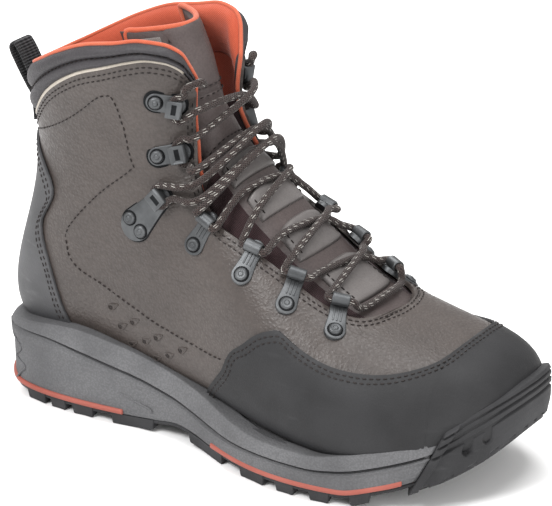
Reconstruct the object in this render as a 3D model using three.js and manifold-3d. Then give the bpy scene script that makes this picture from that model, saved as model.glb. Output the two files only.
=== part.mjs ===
// Wading boot for the right foot, standing empty on its sole. Millimetres: +X towards the toe, +Y the inner
// side of the foot, +Z up. The origin is on the floor, under the middle of the heel.
import * as THREE from "three";
import { mergeVertices } from "three/addons/utils/BufferGeometryUtils.js";
import Module from "manifold-3d";

const wasm = await Module();
wasm.setup();

// Sizes of the last
const LAST_LENGTH = 300; // upper, from the back of the heel to the toe
const BALL_WIDTH = 110; // upper, across the joint of the toes
const HEEL_WIDTH = 76; // upper, across the heel and the ankle
const COLLAR_WIDTH = 82; // across the top of the shaft
const INSTEP_HEIGHT = 150; // floor to the bend where the foot meets the shaft
const SHAFT_HEIGHT = 210; // floor to the front of the collar
const HEEL_BEHIND = 0.153; // share of the length that lies behind the origin

// Walls and layers
const LEATHER = 2.2; // wall of the upper
const OVERLAY = 1.4; // toe rand and heel counter, on the upper
const CUFF_PAD = 6; // padded collar
const CUFF_LAP = 16; // how far the padded collar reaches down inside the leather
const TONGUE_PAD = 5;
const TONGUE_PANEL = 1.2; // height of the smooth panels under the laces
const INSOLE = 4;
const MIDSOLE_HEEL = 12; // foam under the heel seat, above the coloured layer
const LAYER = 3; // coloured layer that shows at heel and forefoot
const PLATE = 2; // base of the outsole
const LUG_DEPTH = 4.5;
const TOE_SPRING = 30; // rise of the sole's underside at its tip
const GROOVE_DEPTH = 1.6; // groove along the side of the midsole
const RIM_LEAN = 1.8; // how far the rim above the groove leans in
const LASTING_MARGIN = 22; // upper turned in under the foot, from the sole's outline
const GAP = 0.3; // between neighbouring pieces

// Lacing
const LACE = 3.8; // diameter of the lace
const LACE_CLEAR = 3.5; // from a lace holder's side to the end of a length of lace
const LACE_SEAT = 1.55; // between lace and tongue
const EDGE_SEAT = 3.9; // between lace and leather, at the throat's edges
const RIVET_RADIUS = 3.6;
const HARDWARE_PLATE = 1.3;
const LOOP_WIDTH = 9;
const LOOP_RADIUS = 3.3; // outside of the folded end of a lace loop
const LOOP_HOLE = 2.2; // radius of the way through it
const HOOK_WIDTH = 9.5;
const HOOK_RISE = 4.6; // clear height under a hook's head
const HOOK_WALL = 1.7;
const RIVET_RIM = 1.9; // plate round a rivet
const RIVET_RISE = 1.4;
const PLATE_SINK = 1.3; // depth of the plate that its curved bed takes away

// Pull loop
const LOOP_BAND = 15; // width of the webbing
const LOOP_RISE = 32; // height of the loop over its foot

// Lugs
const LUG_REACH = 10.5; // from the middle of a lug group to its ends
const LUG_SPLIT = 0.9; // half the width of the grooves in a lug group
const EDGE_LUG_DEPTH = 12; // from the sole's edge inwards

// Steps of the faceted surfaces
const RINGS = [
  0.12, 0.3, 0.55, 0.85, 1.2, 1.6, 2.2, 2.9, 3.6, 4.3, 5, 5.7, 6.4, 7.1, 7.8, 8.4, 9, 9.6, 10.2, 10.8, 11.5,
  12.3, 13.2, 14.2, 15.3, 16.5, 18,
]; // places of the rings, counted in sections
const AROUND = 20;
const OUTLINE_STEPS = 2;
const ROUND = 8;

const FAR = 400; // reach of the solids that only cut

// Rows of a table as objects with named columns
function table(columns, rows) {
  const names = columns.split(" ");
  return rows.map((row) => Object.fromEntries(names.map((name, i) => [name, row[i]])));
}

const along = (share) => (share - HEEL_BEHIND) * LAST_LENGTH;
const shareOf = (x) => x / LAST_LENGTH + HEEL_BEHIND;

// Height of a level: 0 is the underside of the midsole, 1 the heel seat, 2 the bend of the instep and
// 3 the front of the collar
const TREAD = LUG_DEPTH + PLATE + LAYER + 2 * GAP;
const SEAT = TREAD + MIDSOLE_HEEL;
function heightOf(level) {
  if (level < 1) return TREAD + level * MIDSOLE_HEEL;
  if (level < 2) return SEAT + (level - 1) * (INSTEP_HEIGHT - SEAT);
  return INSTEP_HEIGHT + (level - 2) * (SHAFT_HEIGHT - INSTEP_HEIGHT);
}

// Sections of the last, from the toe round the heel to the collar. Each lies in a plane across the boot,
// from its back (or lower) point to its front (or upper) one. backX and frontX are shares of the length,
// low and high are levels, lateral, medial and ridge are shares of the width, widest is where the section
// is widest from back to front, and below and above are how square its two halves are.
const SECTIONS = table(
  "name backX low frontX high width lateral medial ridge widest below above",
  [
    ["tip", 1.0, 1.187, 1.0, 1.187, BALL_WIDTH, 0.082, 0.082, 0.082, 0.5, 2.2, 2.2],
    ["cap", 0.997, 1.085, 0.997, 1.296, BALL_WIDTH, -0.118, 0.255, 0.082, 0.45, 2.4, 2.4],
    ["toe", 0.963, 1.015, 0.96, 1.375, BALL_WIDTH, -0.282, 0.373, 0.082, 0.4, 2.8, 2.5],
    ["toes", 0.9, 0.66, 0.893, 1.42, BALL_WIDTH, -0.427, 0.436, 0.082, 0.36, 3.2, 2.5],
    ["joint", 0.817, 0.45, 0.807, 1.46, BALL_WIDTH, -0.518, 0.464, 0.073, 0.34, 3.4, 2.5],
    ["ball", 0.727, 0.41, 0.713, 1.527, BALL_WIDTH, -0.545, 0.455, 0.073, 0.33, 3.4, 2.5],
    ["waist", 0.63, 0.45, 0.63, 1.664, BALL_WIDTH, -0.518, 0.418, 0.064, 0.32, 3.2, 2.6],
    ["arch", 0.527, 0.62, 0.553, 1.82, HEEL_WIDTH, -0.645, 0.566, 0.079, 0.34, 3.0, 2.7],
    ["instep", 0.413, 0.78, 0.5, 1.937, HEEL_WIDTH, -0.553, 0.526, 0.066, 0.38, 2.8, 2.8],
    ["ankle", 0.293, 0.87, 0.467, 2.067, HEEL_WIDTH, -0.513, 0.526, 0.053, 0.42, 2.6, 2.8],
    ["heel", 0.17, 0.87, 0.447, 2.217, HEEL_WIDTH, -0.5, 0.513, 0.04, 0.46, 2.5, 2.7],
    ["seat", 0.053, 0.99, 0.437, 2.35, HEEL_WIDTH, -0.487, 0.5, 0.026, 0.48, 2.4, 2.7],
    ["corner", -0.013, 1.156, 0.433, 2.467, HEEL_WIDTH, -0.487, 0.5, 0.026, 0.5, 2.3, 2.7],
    ["counter", 0.007, 1.406, 0.433, 2.583, HEEL_WIDTH, -0.487, 0.5, 0.026, 0.52, 2.3, 2.7],
    ["back", 0.043, 1.64, 0.437, 2.717, HEEL_WIDTH, -0.487, 0.5, 0.026, 0.54, 2.3, 2.7],
    ["achilles", 0.063, 1.86, 0.44, 2.867, HEEL_WIDTH, -0.487, 0.5, 0.026, 0.54, 2.3, 2.7],
    ["cuff", 0.05, 2.133, 0.443, 3.017, COLLAR_WIDTH, -0.476, 0.488, 0.024, 0.54, 2.3, 2.7],
    ["collar", 0.043, 2.6, 0.447, 3.183, COLLAR_WIDTH, -0.5, 0.512, 0.024, 0.54, 2.3, 2.7],
    ["above", 0.037, 3.067, 0.45, 3.383, COLLAR_WIDTH, -0.512, 0.524, 0.024, 0.54, 2.3, 2.7],
  ],
);

// Outline of the sole, from its tip to the back of the heel: lateral and medial half widths
const OUTLINE = table("at width lateral medial", [
  [1.015, BALL_WIDTH, 0.109, 0.109],
  [1.013, BALL_WIDTH, -0.073, 0.273],
  [0.967, BALL_WIDTH, -0.3, 0.4],
  [0.897, BALL_WIDTH, -0.45, 0.477],
  [0.817, BALL_WIDTH, -0.55, 0.518],
  [0.733, BALL_WIDTH, -0.595, 0.509],
  [0.64, BALL_WIDTH, -0.595, 0.455],
  [0.547, BALL_WIDTH, -0.532, 0.391],
  [0.453, HEEL_WIDTH, -0.579, 0.493],
  [0.353, HEEL_WIDTH, -0.52, 0.493],
  [0.247, HEEL_WIDTH, -0.566, 0.539],
  [0.14, HEEL_WIDTH, -0.572, 0.553],
  [0.043, HEEL_WIDTH, -0.5, 0.487],
  [0.0, HEEL_WIDTH, -0.263, 0.263],
  [-0.002, HEEL_WIDTH, 0.0, 0.0],
]);

// Curves along the boot: at is a share of the length
const RISE = table("at value", [
  [-0.01, 0.18],
  [0.007, 0.083],
  [0.053, 0],
  [0.287, 0],
  [0.35, 0.033],
  [0.405, 0.1],
  [0.45, 0.05],
  [0.49, 0],
  [0.77, 0],
  [0.837, 0.15],
  [0.903, 0.383],
  [0.97, 0.75],
  [1.013, 1.117],
]);
const EDGE_LEVEL = table("at value", [
  [-0.01, 1.148],
  [0.07, 1.179],
  [0.187, 1.21],
  [0.29, 1.175],
  [0.377, 1.124],
  [0.47, 1.07],
  [0.543, 1.034],
  [0.617, 1.015],
  [0.71, 1.015],
  [0.787, 1.046],
  [0.86, 1.093],
  [0.913, 1.132],
  [0.943, 1.18],
  [0.97, 1.226],
  [1.013, 1.288],
]);
const GROOVE_SHARE = table("at value", [
  [0, 0.92],
  [0.12, 0.82],
  [0.2, 0.7],
  [0.33, 0.6],
  [0.45, 0.45],
  [0.53, 0.47],
  [0.62, 0.58],
  [0.9, 0.56],
]);
const LEATHER_TOP = table("at level", [
  [-0.15, 1.99],
  [0.043, 2.0],
  [0.073, 2.1],
  [0.133, 2.417],
  [0.173, 2.567],
  [0.223, 2.7],
  [0.273, 2.783],
  [0.317, 2.858],
  [0.357, 2.9],
  [0.383, 2.883],
  [0.4, 2.833],
  [0.41, 2.76],
  [0.418, 2.6],
  [0.433, 2.0],
]);
const CUFF_TOP = table("at level", [
  [-0.15, 2.467],
  [0.033, 2.5],
  [0.067, 2.567],
  [0.113, 2.683],
  [0.17, 2.825],
  [0.237, 2.95],
  [0.293, 3.0],
  [0.343, 3.05],
  [0.38, 3.033],
  [0.407, 2.95],
  [0.418, 2.783],
  [0.433, 2.4],
]);
// Foot of the padded collar beside the throat, inside the leather
const CUFF_CORNER = table("at level", [
  [0.393, 2.2],
  [0.43, 1.875],
]);
const CUFF_FRONT = 0.42;
// Front edge of the heel counter, from the top down
const COUNTER_EDGE = table("at level", [
  [0.053, 1.984],
  [0.143, 1.773],
  [0.113, 1.617],
  [0.13, 1.468],
  [0.15, 1.288],
  [0.18, 1.06],
  [0.18, 0.4],
]);

// Lines on the upper: at counts the sections from the tip, half is the distance from the ridge as a share
// of the way down to the underside or the back
const THROAT = table("at half", [
  [4.4, 0],
  [4.46, 0.055],
  [4.58, 0.09],
  [4.72, 0.12],
  [4.95, 0.14],
  [5.3, 0.155],
  [6.3, 0.185],
  [7.4, 0.24],
  [8.2, 0.272],
  [9, 0.25],
  [9.75, 0.215],
  [10.85, 0.172],
  [12.5, 0.155],
  [14.3, 0.165],
  [15.1, 0.18],
  [18, 0.19],
]);
const RAND_TOP = table("at half", [
  [2.84, 0],
  [2.87, 0.08],
  [2.96, 0.158],
  [3.22, 0.218],
  [3.63, 0.268],
  [4.08, 0.298],
  [4.48, 0.313],
  [4.89, 0.323],
  [5.56, 0.328],
  [5.88, 0.328],
  [6.19, 0.363],
  [6.42, 0.398],
  [6.69, 0.444],
  [7.09, 0.499],
  [7.5, 0.639],
  [7.8, 0.85],
  [8.1, 0.96],
]);
const RAND_END = 7.9;
// The tongue under the leather: half width, how deep it lies under the leather's face at its middle and
// at its edges
const TONGUE = table("at half middle edge", [
  [3.95, 0.13, 4, 4],
  [4.6, 0.2, 3.6, 4],
  [6, 0.25, 3.4, 4],
  [8, 0.33, 4, 5],
  [9.2, 0.33, 5.5, 10.5],
  [12, 0.36, 6, 10.5],
]);
// The tongue above the instep leans back into the shaft: its middle and its two edges. middle and side are
// shares of the length, rise and sideRise levels, half and ridge shares of the collar's width.
const TONGUE_TOP = table("at middle rise side sideRise half ridge", [
  [9.6, 0.436, 2.13, 0.355, 1.98, 0.23, 0.01],
  [12, 0.408, 2.5, 0.33, 2.37, 0.28, 0.02],
  [14, 0.388, 2.77, 0.3, 2.68, 0.31, 0.04],
  [16.4, 0.36, 3.07, 0.27, 3.03, 0.33, 0.045],
]);
const TONGUE_BEND = [9.2, 12]; // where the tongue passes from the one to the other
// Smooth raised panels of the tongue, between the laces
const PANELS = table("from to half", [
  [5.0, 5.75, 0.085],
  [6.15, 6.75, 0.1],
  [7.15, 7.75, 0.115],
  [8.2, 8.9, 0.13],
]);

// Lacing rows from the toe upwards, the same on both sides of the throat. toeWay and heelWay are the places
// along the throat's edge where the laces on the row's toe side and heel side pass it.
const LACING = table("kind at half headAt headHalf toeWay heelWay", [
  ["loop", 4.98, 0.208, 5.18, 0.125, 4.9, 5.44],
  ["loop", 5.97, 0.25, 6.05, 0.16, 5.79, 6.33],
  ["loop", 7.05, 0.305, 6.98, 0.21, 6.7, 7.41],
  ["loop", 8.54, 0.368, 8.4, 0.285, 7.97, 8.65],
  ["lock", 10.52, 0.43, 10.3, 0.345, 8.85, 9.3],
  ["hook", 11.78, 0.308, 10.98, 0.235, 9.7, 11.1],
  ["hook", 14.53, 0.343, 13.7, 0.25, 12.9, 15],
]);
const BAR_AT = 4.76; // where the first length of lace lies on the tongue
const TONGUE_ROWS = 3; // crossings that lie on the tongue
const LACE_SPREAD = 0.4; // share of the tongue's half width over which they do

// Lug groups under forefoot and heel: places as shares of length and ball width
const LUG_GROUPS = table("at across turn size", [
  [0.855, 0.2, 20, 0.95],
  [0.86, -0.06, 95, 0.9],
  [0.845, -0.29, 140, 0.85],
  [0.78, 0.3, 200, 1],
  [0.785, 0.06, 60, 1.05],
  [0.775, -0.17, 10, 1],
  [0.7, 0.32, 75, 0.95],
  [0.695, -0.12, 180, 1],
  [0.69, -0.33, 30, 0.85],
  [0.615, 0.21, 130, 1],
  [0.61, -0.01, 250, 0.9],
  [0.54, 0.12, 15, 1],
  [0.535, -0.12, 100, 1],
  [0.315, 0.12, 160, 0.95],
  [0.225, 0.13, 30, 1],
  [0.22, -0.11, 250, 0.95],
  [0.14, 0.17, 100, 0.9],
  [0.136, 0, 0, 0.9],
  [0.135, -0.17, 190, 0.9],
  [0.06, 0, 0, 0.9],
]);
const CHEVRONS = table("at across turn", [
  [0.7, 0.1, 130],
  [0.625, -0.24, 20],
  [0.31, -0.13, 200],
]);
// Lugs along the edge of the sole, as shares of the length
const EDGE_LUGS = {
  [-1]: [
    [0.07, 0.12],
    [0.13, 0.167],
    [0.18, 0.227],
    [0.263, 0.353],
    [0.43, 0.523],
    [0.567, 0.627],
    [0.65, 0.69],
    [0.717, 0.757],
    [0.79, 0.827],
  ],
  1: [
    [0.07, 0.12],
    [0.13, 0.167],
    [0.18, 0.227],
    [0.263, 0.353],
    [0.43, 0.5],
    [0.545, 0.595],
    [0.635, 0.69],
    [0.72, 0.77],
    [0.8, 0.84],
  ],
};
// Zigzag rear edge of the rubber that wraps the toe
const TOE_EDGE = table("at across", [
  [0.913, -0.6],
  [0.923, -0.34],
  [0.93, -0.17],
  [0.913, 0],
  [0.96, 0.073],
  [0.957, 0.173],
  [0.913, 0.21],
  [0.933, 0.345],
  [0.917, 0.6],
]);
const BUMPER_LOW = 0.892; // where the rubber of the toe begins at the base, share of the length
const BUMPER_HIGH = 0.935; // and at the edge
const HEEL_LAYER_END = 0.29;
const FRONT_LAYER = [0.495, 0.875];

// Side view of the pull loop, from its foot on the collar: shares of its rise
const LOOP_FOOT = 15.95;
const LOOP_OUTSIDE = table("behind rise", [
  [-0.1, 0],
  [-0.1, 0.16],
  [0.06, 0.33],
  [0.17, 0.56],
  [0.3, 0.81],
  [0.38, 0.94],
  [0.45, 1],
  [0.54, 0.97],
  [0.565, 0.89],
  [0.53, 0.78],
  [0.4, 0.53],
  [0.25, 0.28],
  [0.145, 0.11],
  [0.11, 0],
]);
const LOOP_INSIDE = table("behind rise", [
  [0.1, 0.24],
  [0.13, 0.33],
  [0.23, 0.57],
  [0.35, 0.82],
  [0.41, 0.91],
  [0.46, 0.94],
  [0.505, 0.91],
  [0.51, 0.87],
  [0.48, 0.79],
  [0.35, 0.55],
  [0.205, 0.3],
]);

// Uniform cubic curve through control values, smooth in slope and bend
function spline(controls, t, wrap = false) {
  const i = Math.floor(t);
  const f = t - i;
  const weights = [
    (1 - f) ** 3 / 6,
    (3 * f ** 3 - 6 * f ** 2 + 4) / 6,
    (-3 * f ** 3 + 3 * f ** 2 + 3 * f + 1) / 6,
    f ** 3 / 6,
  ];
  const n = controls.length;
  return controls[0].map((_, k) =>
    weights.reduce((sum, w, j) => {
      const at = i + j - 1;
      return sum + w * controls[wrap ? (at + n) % n : Math.min(Math.max(at, 0), n - 1)][k];
    }, 0),
  );
}

// Smooth value through the rows of a table, which never swings past them
function through(rows, column, x, key = "at") {
  const last = rows.length - 1;
  if (x <= rows[0][key]) return rows[0][column];
  if (x >= rows[last][key]) return rows[last][column];
  const slope = (i) =>
    (rows[i + 1][column] - rows[i][column]) / (rows[i + 1][key] - rows[i][key]);
  const tangent = (i) => {
    if (i === 0) return slope(0);
    if (i === last) return slope(last - 1);
    const [a, b] = [slope(i - 1), slope(i)];
    return a * b <= 0 ? 0 : (2 * a * b) / (a + b);
  };
  const i = rows.findIndex((row) => x < row[key]) - 1;
  const width = rows[i + 1][key] - rows[i][key];
  const s = (x - rows[i][key]) / width;
  return (
    rows[i][column] * (2 * s ** 3 - 3 * s ** 2 + 1) +
    rows[i + 1][column] * (3 * s ** 2 - 2 * s ** 3) +
    width * (tangent(i) * (s ** 3 - 2 * s ** 2 + s) + tangent(i + 1) * (s ** 3 - s ** 2))
  );
}

// Solids and meshes
function solidOf(geometry) {
  const bare = new THREE.BufferGeometry();
  const source = geometry.index ? geometry.toNonIndexed() : geometry;
  bare.setAttribute("position", source.getAttribute("position"));
  const merged = mergeVertices(bare, 1e-4);
  const all = Array.from(merged.index.array);
  const kept = [];
  for (let i = 0; i < all.length; i += 3) {
    const [a, b, c] = all.slice(i, i + 3);
    if (a !== b && b !== c && c !== a) kept.push(a, b, c);
  }
  const build = (faces) =>
    new wasm.Manifold(
      new wasm.Mesh({
        numProp: 3,
        vertProperties: new Float32Array(merged.attributes.position.array),
        triVerts: new Uint32Array(faces),
      }),
    );
  const solid = build(kept);
  if (solid.volume() > 0) return solid;
  const turned = [];
  for (let i = 0; i < kept.length; i += 3) turned.push(kept[i], kept[i + 2], kept[i + 1]);
  return build(turned);
}

function geometryOf(solid) {
  const mesh = solid.getMesh();
  const points = [];
  for (const v of mesh.triVerts)
    for (let k = 0; k < 3; k++) points.push(mesh.vertProperties[v * mesh.numProp + k]);
  const geometry = new THREE.BufferGeometry();
  geometry.setAttribute("position", new THREE.Float32BufferAttribute(points, 3));
  geometry.computeVertexNormals();
  return geometry;
}

const union = (solids) => wasm.Manifold.union(solids);

// Closed solid through rings with equally many points. Its ends are closed across each ring, from its
// points in order to the same points counted from the other end.
function loft(rings) {
  const points = [];
  const quad = (a, b, c, d) => {
    for (const p of [a, b, c, a, c, d]) points.push(p.x, p.y, p.z);
  };
  const n = rings[0].length;
  for (let i = 0; i + 1 < rings.length; i++)
    for (let j = 0; j < n; j++) {
      const k = (j + 1) % n;
      quad(rings[i][j], rings[i][k], rings[i + 1][k], rings[i + 1][j]);
    }
  const cap = (ring, flip) => {
    for (let j = 0; j < Math.floor((n - 1) / 2); j++) {
      const corners = [ring[j], ring[n - 1 - j], ring[n - 2 - j], ring[j + 1]];
      quad(...(flip ? corners.reverse() : corners));
    }
  };
  cap(rings[0], false);
  cap(rings[rings.length - 1], true);
  const geometry = new THREE.BufferGeometry();
  geometry.setAttribute("position", new THREE.Float32BufferAttribute(points, 3));
  return solidOf(geometry);
}

// Prism across the whole boot over a polygon of side-view points [x, z]
function prism(points, reach = FAR) {
  const shape = new THREE.Shape(points.map(([x, z]) => new THREE.Vector2(x, z)));
  const geometry = new THREE.ExtrudeGeometry(shape, { depth: 2 * reach, bevelEnabled: false });
  geometry.rotateX(Math.PI / 2).translate(0, reach, 0);
  return solidOf(geometry);
}

// Upright prism over a polygon of plan points [x, y]
function column(points) {
  const shape = new THREE.Shape(points.map(([x, y]) => new THREE.Vector2(x, y)));
  const geometry = new THREE.ExtrudeGeometry(shape, { depth: FAR, bevelEnabled: false });
  geometry.translate(0, 0, -FAR / 2);
  return solidOf(geometry);
}

// The surface of the last: t counts the sections from the tip, v runs from -1 at the underside or back,
// over the lateral side, to 0 on the ridge and on over the medial side to 1
const ROWS = SECTIONS.map((s) => [
  along(s.backX),
  heightOf(s.low),
  along(s.frontX),
  heightOf(s.high),
  s.lateral * s.width,
  s.medial * s.width,
  s.ridge * s.width,
  s.widest,
  s.below,
  s.above,
]);
const END = SECTIONS.length - 1;
function controlRows() {
  const [backX, low, frontX, high, lateral, medial, ridge, ...shape] = ROWS[1];
  const tip = ROWS[0][6];
  const mirrored = [frontX, high, backX, low, 2 * tip - lateral, 2 * tip - medial, ridge, ...shape];
  const next = ROWS[END].map((value, k) => 2 * value - ROWS[END - 1][k]);
  return [mirrored, ...ROWS, next];
}
const CONTROLS = controlRows();

function surfacePoint(t, v) {
  const turn = v < -1 ? v + 2 : v > 1 ? v - 2 : v;
  const at = Math.min(Math.max(t, 0), END - 1e-6) + 1;
  const [backX, low, frontX, high, lateral, medial, ridge, widest, below, above] = spline(
    CONTROLS,
    at,
  );
  const angle = (1 - Math.abs(turn)) * Math.PI;
  const lower = angle <= Math.PI / 2;
  const power = 2 / (lower ? below : above);
  const out = Math.abs(Math.sin(angle)) ** power;
  const up = Math.abs(Math.cos(angle)) ** power;
  const share = lower ? widest * (1 - up) : widest + (1 - widest) * up;
  const side = turn < 0 ? lateral : medial;
  return new THREE.Vector3(
    backX + (frontX - backX) * share,
    ridge + (side - ridge) * out,
    low + (high - low) * share,
  );
}

// Point of a face with an offset along its outward normal
function normalOf(face, a, b) {
  const h = 1e-3;
  const da = face(a + h, b).sub(face(Math.max(a - h, 0), b));
  const db = face(a, b + h).sub(face(a, b - h));
  return db.cross(da).normalize();
}
const lifted = (face, a, b, offset) =>
  face(a, b).addScaledVector(normalOf(face, a, b), offset);
const onLast = (t, v, offset = 0) => lifted(surfacePoint, t, v, offset);

const steps = (from, to, count) =>
  Array.from({ length: count + 1 }, (_, i) => from + ((to - from) * i) / count);

const RING_SHARES = steps(-1, 1, AROUND);

// The last made larger or smaller by an offset, from the tip to a section
function form(offset, end = END) {
  const rings = RINGS.filter((t) => t <= end);
  return loft(rings.map((t) => RING_SHARES.map((v) => onLast(t, v, offset))));
}

// A patch of a face with a thickness: place gives a point at a section, a share across and an offset
function patch({ from, to, count, across, place, inner, outer }) {
  const shares = steps(-1, 1, across);
  const row = (t, offset) => shares.map((s) => place(t, s, offset));
  return loft(steps(from, to, count).map((t) => [...row(t, outer), ...row(t, inner).reverse()]));
}

// Cutter over the area between the lines of a table, mirrored about the ridge
function window(rows, to, count, lift, sink, across = 4) {
  const from = rows[0].at;
  const spread = steps(0, 1, count).map((s) => from + (to - from) * s ** 1.6);
  const rings = spread.map((t) => {
    const half = through(rows, "half", t);
    const shares = steps(-1, 1, across);
    const row = (offset) => shares.map((s) => onLast(t, s * half, offset));
    return [...row(lift), ...row(-sink).reverse()];
  });
  return loft(rings);
}

const lineOf = (rows, drop = 0) => rows.map((r) => [along(r.at), heightOf(r.level) - drop]);
function besideLine(line, height) {
  const [x, z] = line.at(-1);
  return prism([...line, [x + FAR, z], [FAR, height], [line[0][0], height]]);
}
const above = (line) => besideLine(line, FAR);
const below = (line) => besideLine(line, -FAR);

// Underside of the last at a place along the boot
const UNDERSIDE = steps(0.6, 11.2, 40).map((t) => {
  const p = surfacePoint(t, -1);
  return { at: -p.x, height: p.z };
});
const undersideAt = (x) => through(UNDERSIDE, "height", -x);

// Sole: closed outline through the rows and back along the medial side
const LOOP = [
  ...OUTLINE.map((r) => [along(r.at), r.lateral * r.width]),
  ...OUTLINE.slice(1, -1)
    .reverse()
    .map((r) => [along(r.at), r.medial * r.width]),
];
const HALF_LOOP = OUTLINE.length - 1;
function outlineAt(u, inset = 0) {
  const n = LOOP.length;
  const at = (s) => spline(LOOP, (s + n) % n, true);
  const [x, y] = at(u);
  const [ax, ay] = at(u - 0.01);
  const [bx, by] = at(u + 0.01);
  const size = Math.hypot(bx - ax, by - ay);
  return [x + (inset * (by - ay)) / size, y - (inset * (bx - ax)) / size];
}

// Place on the outline at a distance along the boot, on one side
function edgeAt(side, x, inset = 0) {
  let [near, far] = [0, HALF_LOOP];
  for (let i = 0; i < 30; i++) {
    const middle = (near + far) / 2;
    if (outlineAt(side < 0 ? middle : -middle)[0] > x) near = middle;
    else far = middle;
  }
  return outlineAt(side < 0 ? near : -near, inset);
}

// Solid of the sole's outline through levels, each with an inset and a height that depends on x
function stack(levels) {
  const half = steps(0, HALF_LOOP, HALF_LOOP * OUTLINE_STEPS);
  const around = [...half, ...half.map((u) => HALF_LOOP + u)];
  return loft(
    levels.map(([inset, height]) =>
      around.map((u) => {
        const [x, y] = outlineAt(u, inset);
        return new THREE.Vector3(x, y, height(x));
      }),
    ),
  );
}

const base = (x) => LUG_DEPTH + TOE_SPRING * through(RISE, "value", shareOf(x));
const edge = (x) => heightOf(through(EDGE_LEVEL, "value", shareOf(x)));
const under = (x) => base(x) + PLATE + GAP;
const groove = (x) => through(GROOVE_SHARE, "value", shareOf(x));

// Height on the side of the sole: below 1 a share of the way up to the groove, above it of the rim
function sideHeight(part) {
  return (x) => {
    const share = part < 1 ? part * groove(x) : groove(x) + (part - 1) * (1 - groove(x));
    return under(x) + share * (edge(x) - under(x));
  };
}

const between = (low, high) =>
  prism([
    [low, -FAR],
    [high, -FAR],
    [high, FAR],
    [low, FAR],
  ]);

const bumperHeight = (share) => (x) => base(x) + share * (edge(x) - base(x));

// The toe's rubber lies ahead of a leaning plane
function aheadOfBumper(shift) {
  const [low, high] = [along(BUMPER_LOW) + shift, along(BUMPER_HIGH) + shift];
  const rise = edge(high) - base(low);
  const lean = (high - low) / rise;
  const at = (z) => low + (z - base(low)) * lean;
  return prism([
    [at(-FAR / 2), -FAR / 2],
    [FAR * 2, -FAR / 2],
    [FAR * 2, FAR / 2],
    [at(FAR / 2), FAR / 2],
  ]);
}

const lastPocket = form(GAP);
const leatherForm = form(0);

function makeUpper() {
  const opening = stack([
    [LASTING_MARGIN, () => -FAR / 4],
    [LASTING_MARGIN, (x) => undersideAt(x) + LEATHER + 2 * GAP],
  ]);
  return leatherForm
    .subtract(form(-LEATHER))
    .subtract(opening)
    .subtract(above(lineOf(LEATHER_TOP)))
    .subtract(window(THROAT, END, 22, 12, 14));
}

function makeInsole() {
  const floor = steps(along(-0.1), along(1.1), 40).map((x) => [
    x,
    undersideAt(x) + LEATHER + GAP + INSOLE,
  ]);
  return form(-LEATHER - GAP).subtract(above(floor));
}

function makeCuff() {
  const inside = LEATHER + GAP;
  const padded = form(-inside).subtract(form(-inside - CUFF_PAD));
  const proud = form(-GAP).subtract(form(-inside - 1));
  const line = lineOf(LEATHER_TOP, -GAP);
  const foot = [...lineOf(LEATHER_TOP.slice(0, -4), CUFF_LAP), ...lineOf(CUFF_CORNER)];
  const inner = padded.intersect(above(foot)).intersect(between(-FAR, along(CUFF_FRONT)));
  const outer = proud.intersect(above(line)).intersect(below(lineOf(CUFF_TOP, 2)));
  return union([inner, outer])
    .intersect(below(lineOf(CUFF_TOP)))
    .subtract(window(THROAT, END, 22, 12, 16));
}

const overlayShell = form(OVERLAY + GAP).subtract(lastPocket);
const soleBlock = stack([
  [-2, () => -FAR / 4],
  [-2, (x) => edge(x) + GAP],
]);

function makeRand() {
  const toe = form(OVERLAY + GAP, RAND_END).subtract(form(GAP));
  return toe.subtract(window(RAND_TOP, RAND_TOP.at(-1).at, 18, 14, 14, 8)).subtract(soleBlock);
}

function makeCounter() {
  const line = lineOf(COUNTER_EDGE);
  const back = prism([[along(-0.2), line[0][1]], ...line, [along(-0.2), line.at(-1)[1]]]);
  return overlayShell.intersect(back).subtract(soleBlock);
}

// Front face of the tongue: share runs from -1 at its lateral edge to 1 at its medial edge
function tongueFace(t, share) {
  const crown = Math.cos((Math.min(Math.abs(share), 1) * Math.PI) / 2);
  const [edgeDepth, middle] = [through(TONGUE, "edge", t), through(TONGUE, "middle", t)];
  const depth = edgeDepth + (middle - edgeDepth) * crown ** 2;
  const under = onLast(t, share * through(TONGUE, "half", t), -depth);
  const [start, end] = TONGUE_BEND;
  const part = THREE.MathUtils.smoothstep(t, start, end);
  const value = (column) => through(TONGUE_TOP, column, t);
  const blend = (from, to) => from + (to - from) * crown ** 0.75;
  const leaning = new THREE.Vector3(
    along(blend(value("side"), value("middle"))),
    (value("ridge") + share * value("half")) * COLLAR_WIDTH,
    heightOf(blend(value("sideRise"), value("rise"))),
  );
  return under.lerp(leaning, part);
}

function makeTongue() {
  const body = patch({
    from: TONGUE[0].at,
    to: TONGUE_TOP.at(-1).at,
    count: 14,
    across: 6,
    place: (t, s, offset) => lifted(tongueFace, t, s, offset),
    outer: 0,
    inner: -TONGUE_PAD,
  });
  const panels = PANELS.map((p) =>
    patch({
      from: p.from,
      to: p.to,
      count: 1,
      across: 2,
      place: (t, s, offset) =>
        lifted(tongueFace, t, (s * p.half) / through(TONGUE, "half", t), offset),
      outer: TONGUE_PANEL,
      inner: -1,
    }),
  );
  return union([body, ...panels]);
}

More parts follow.
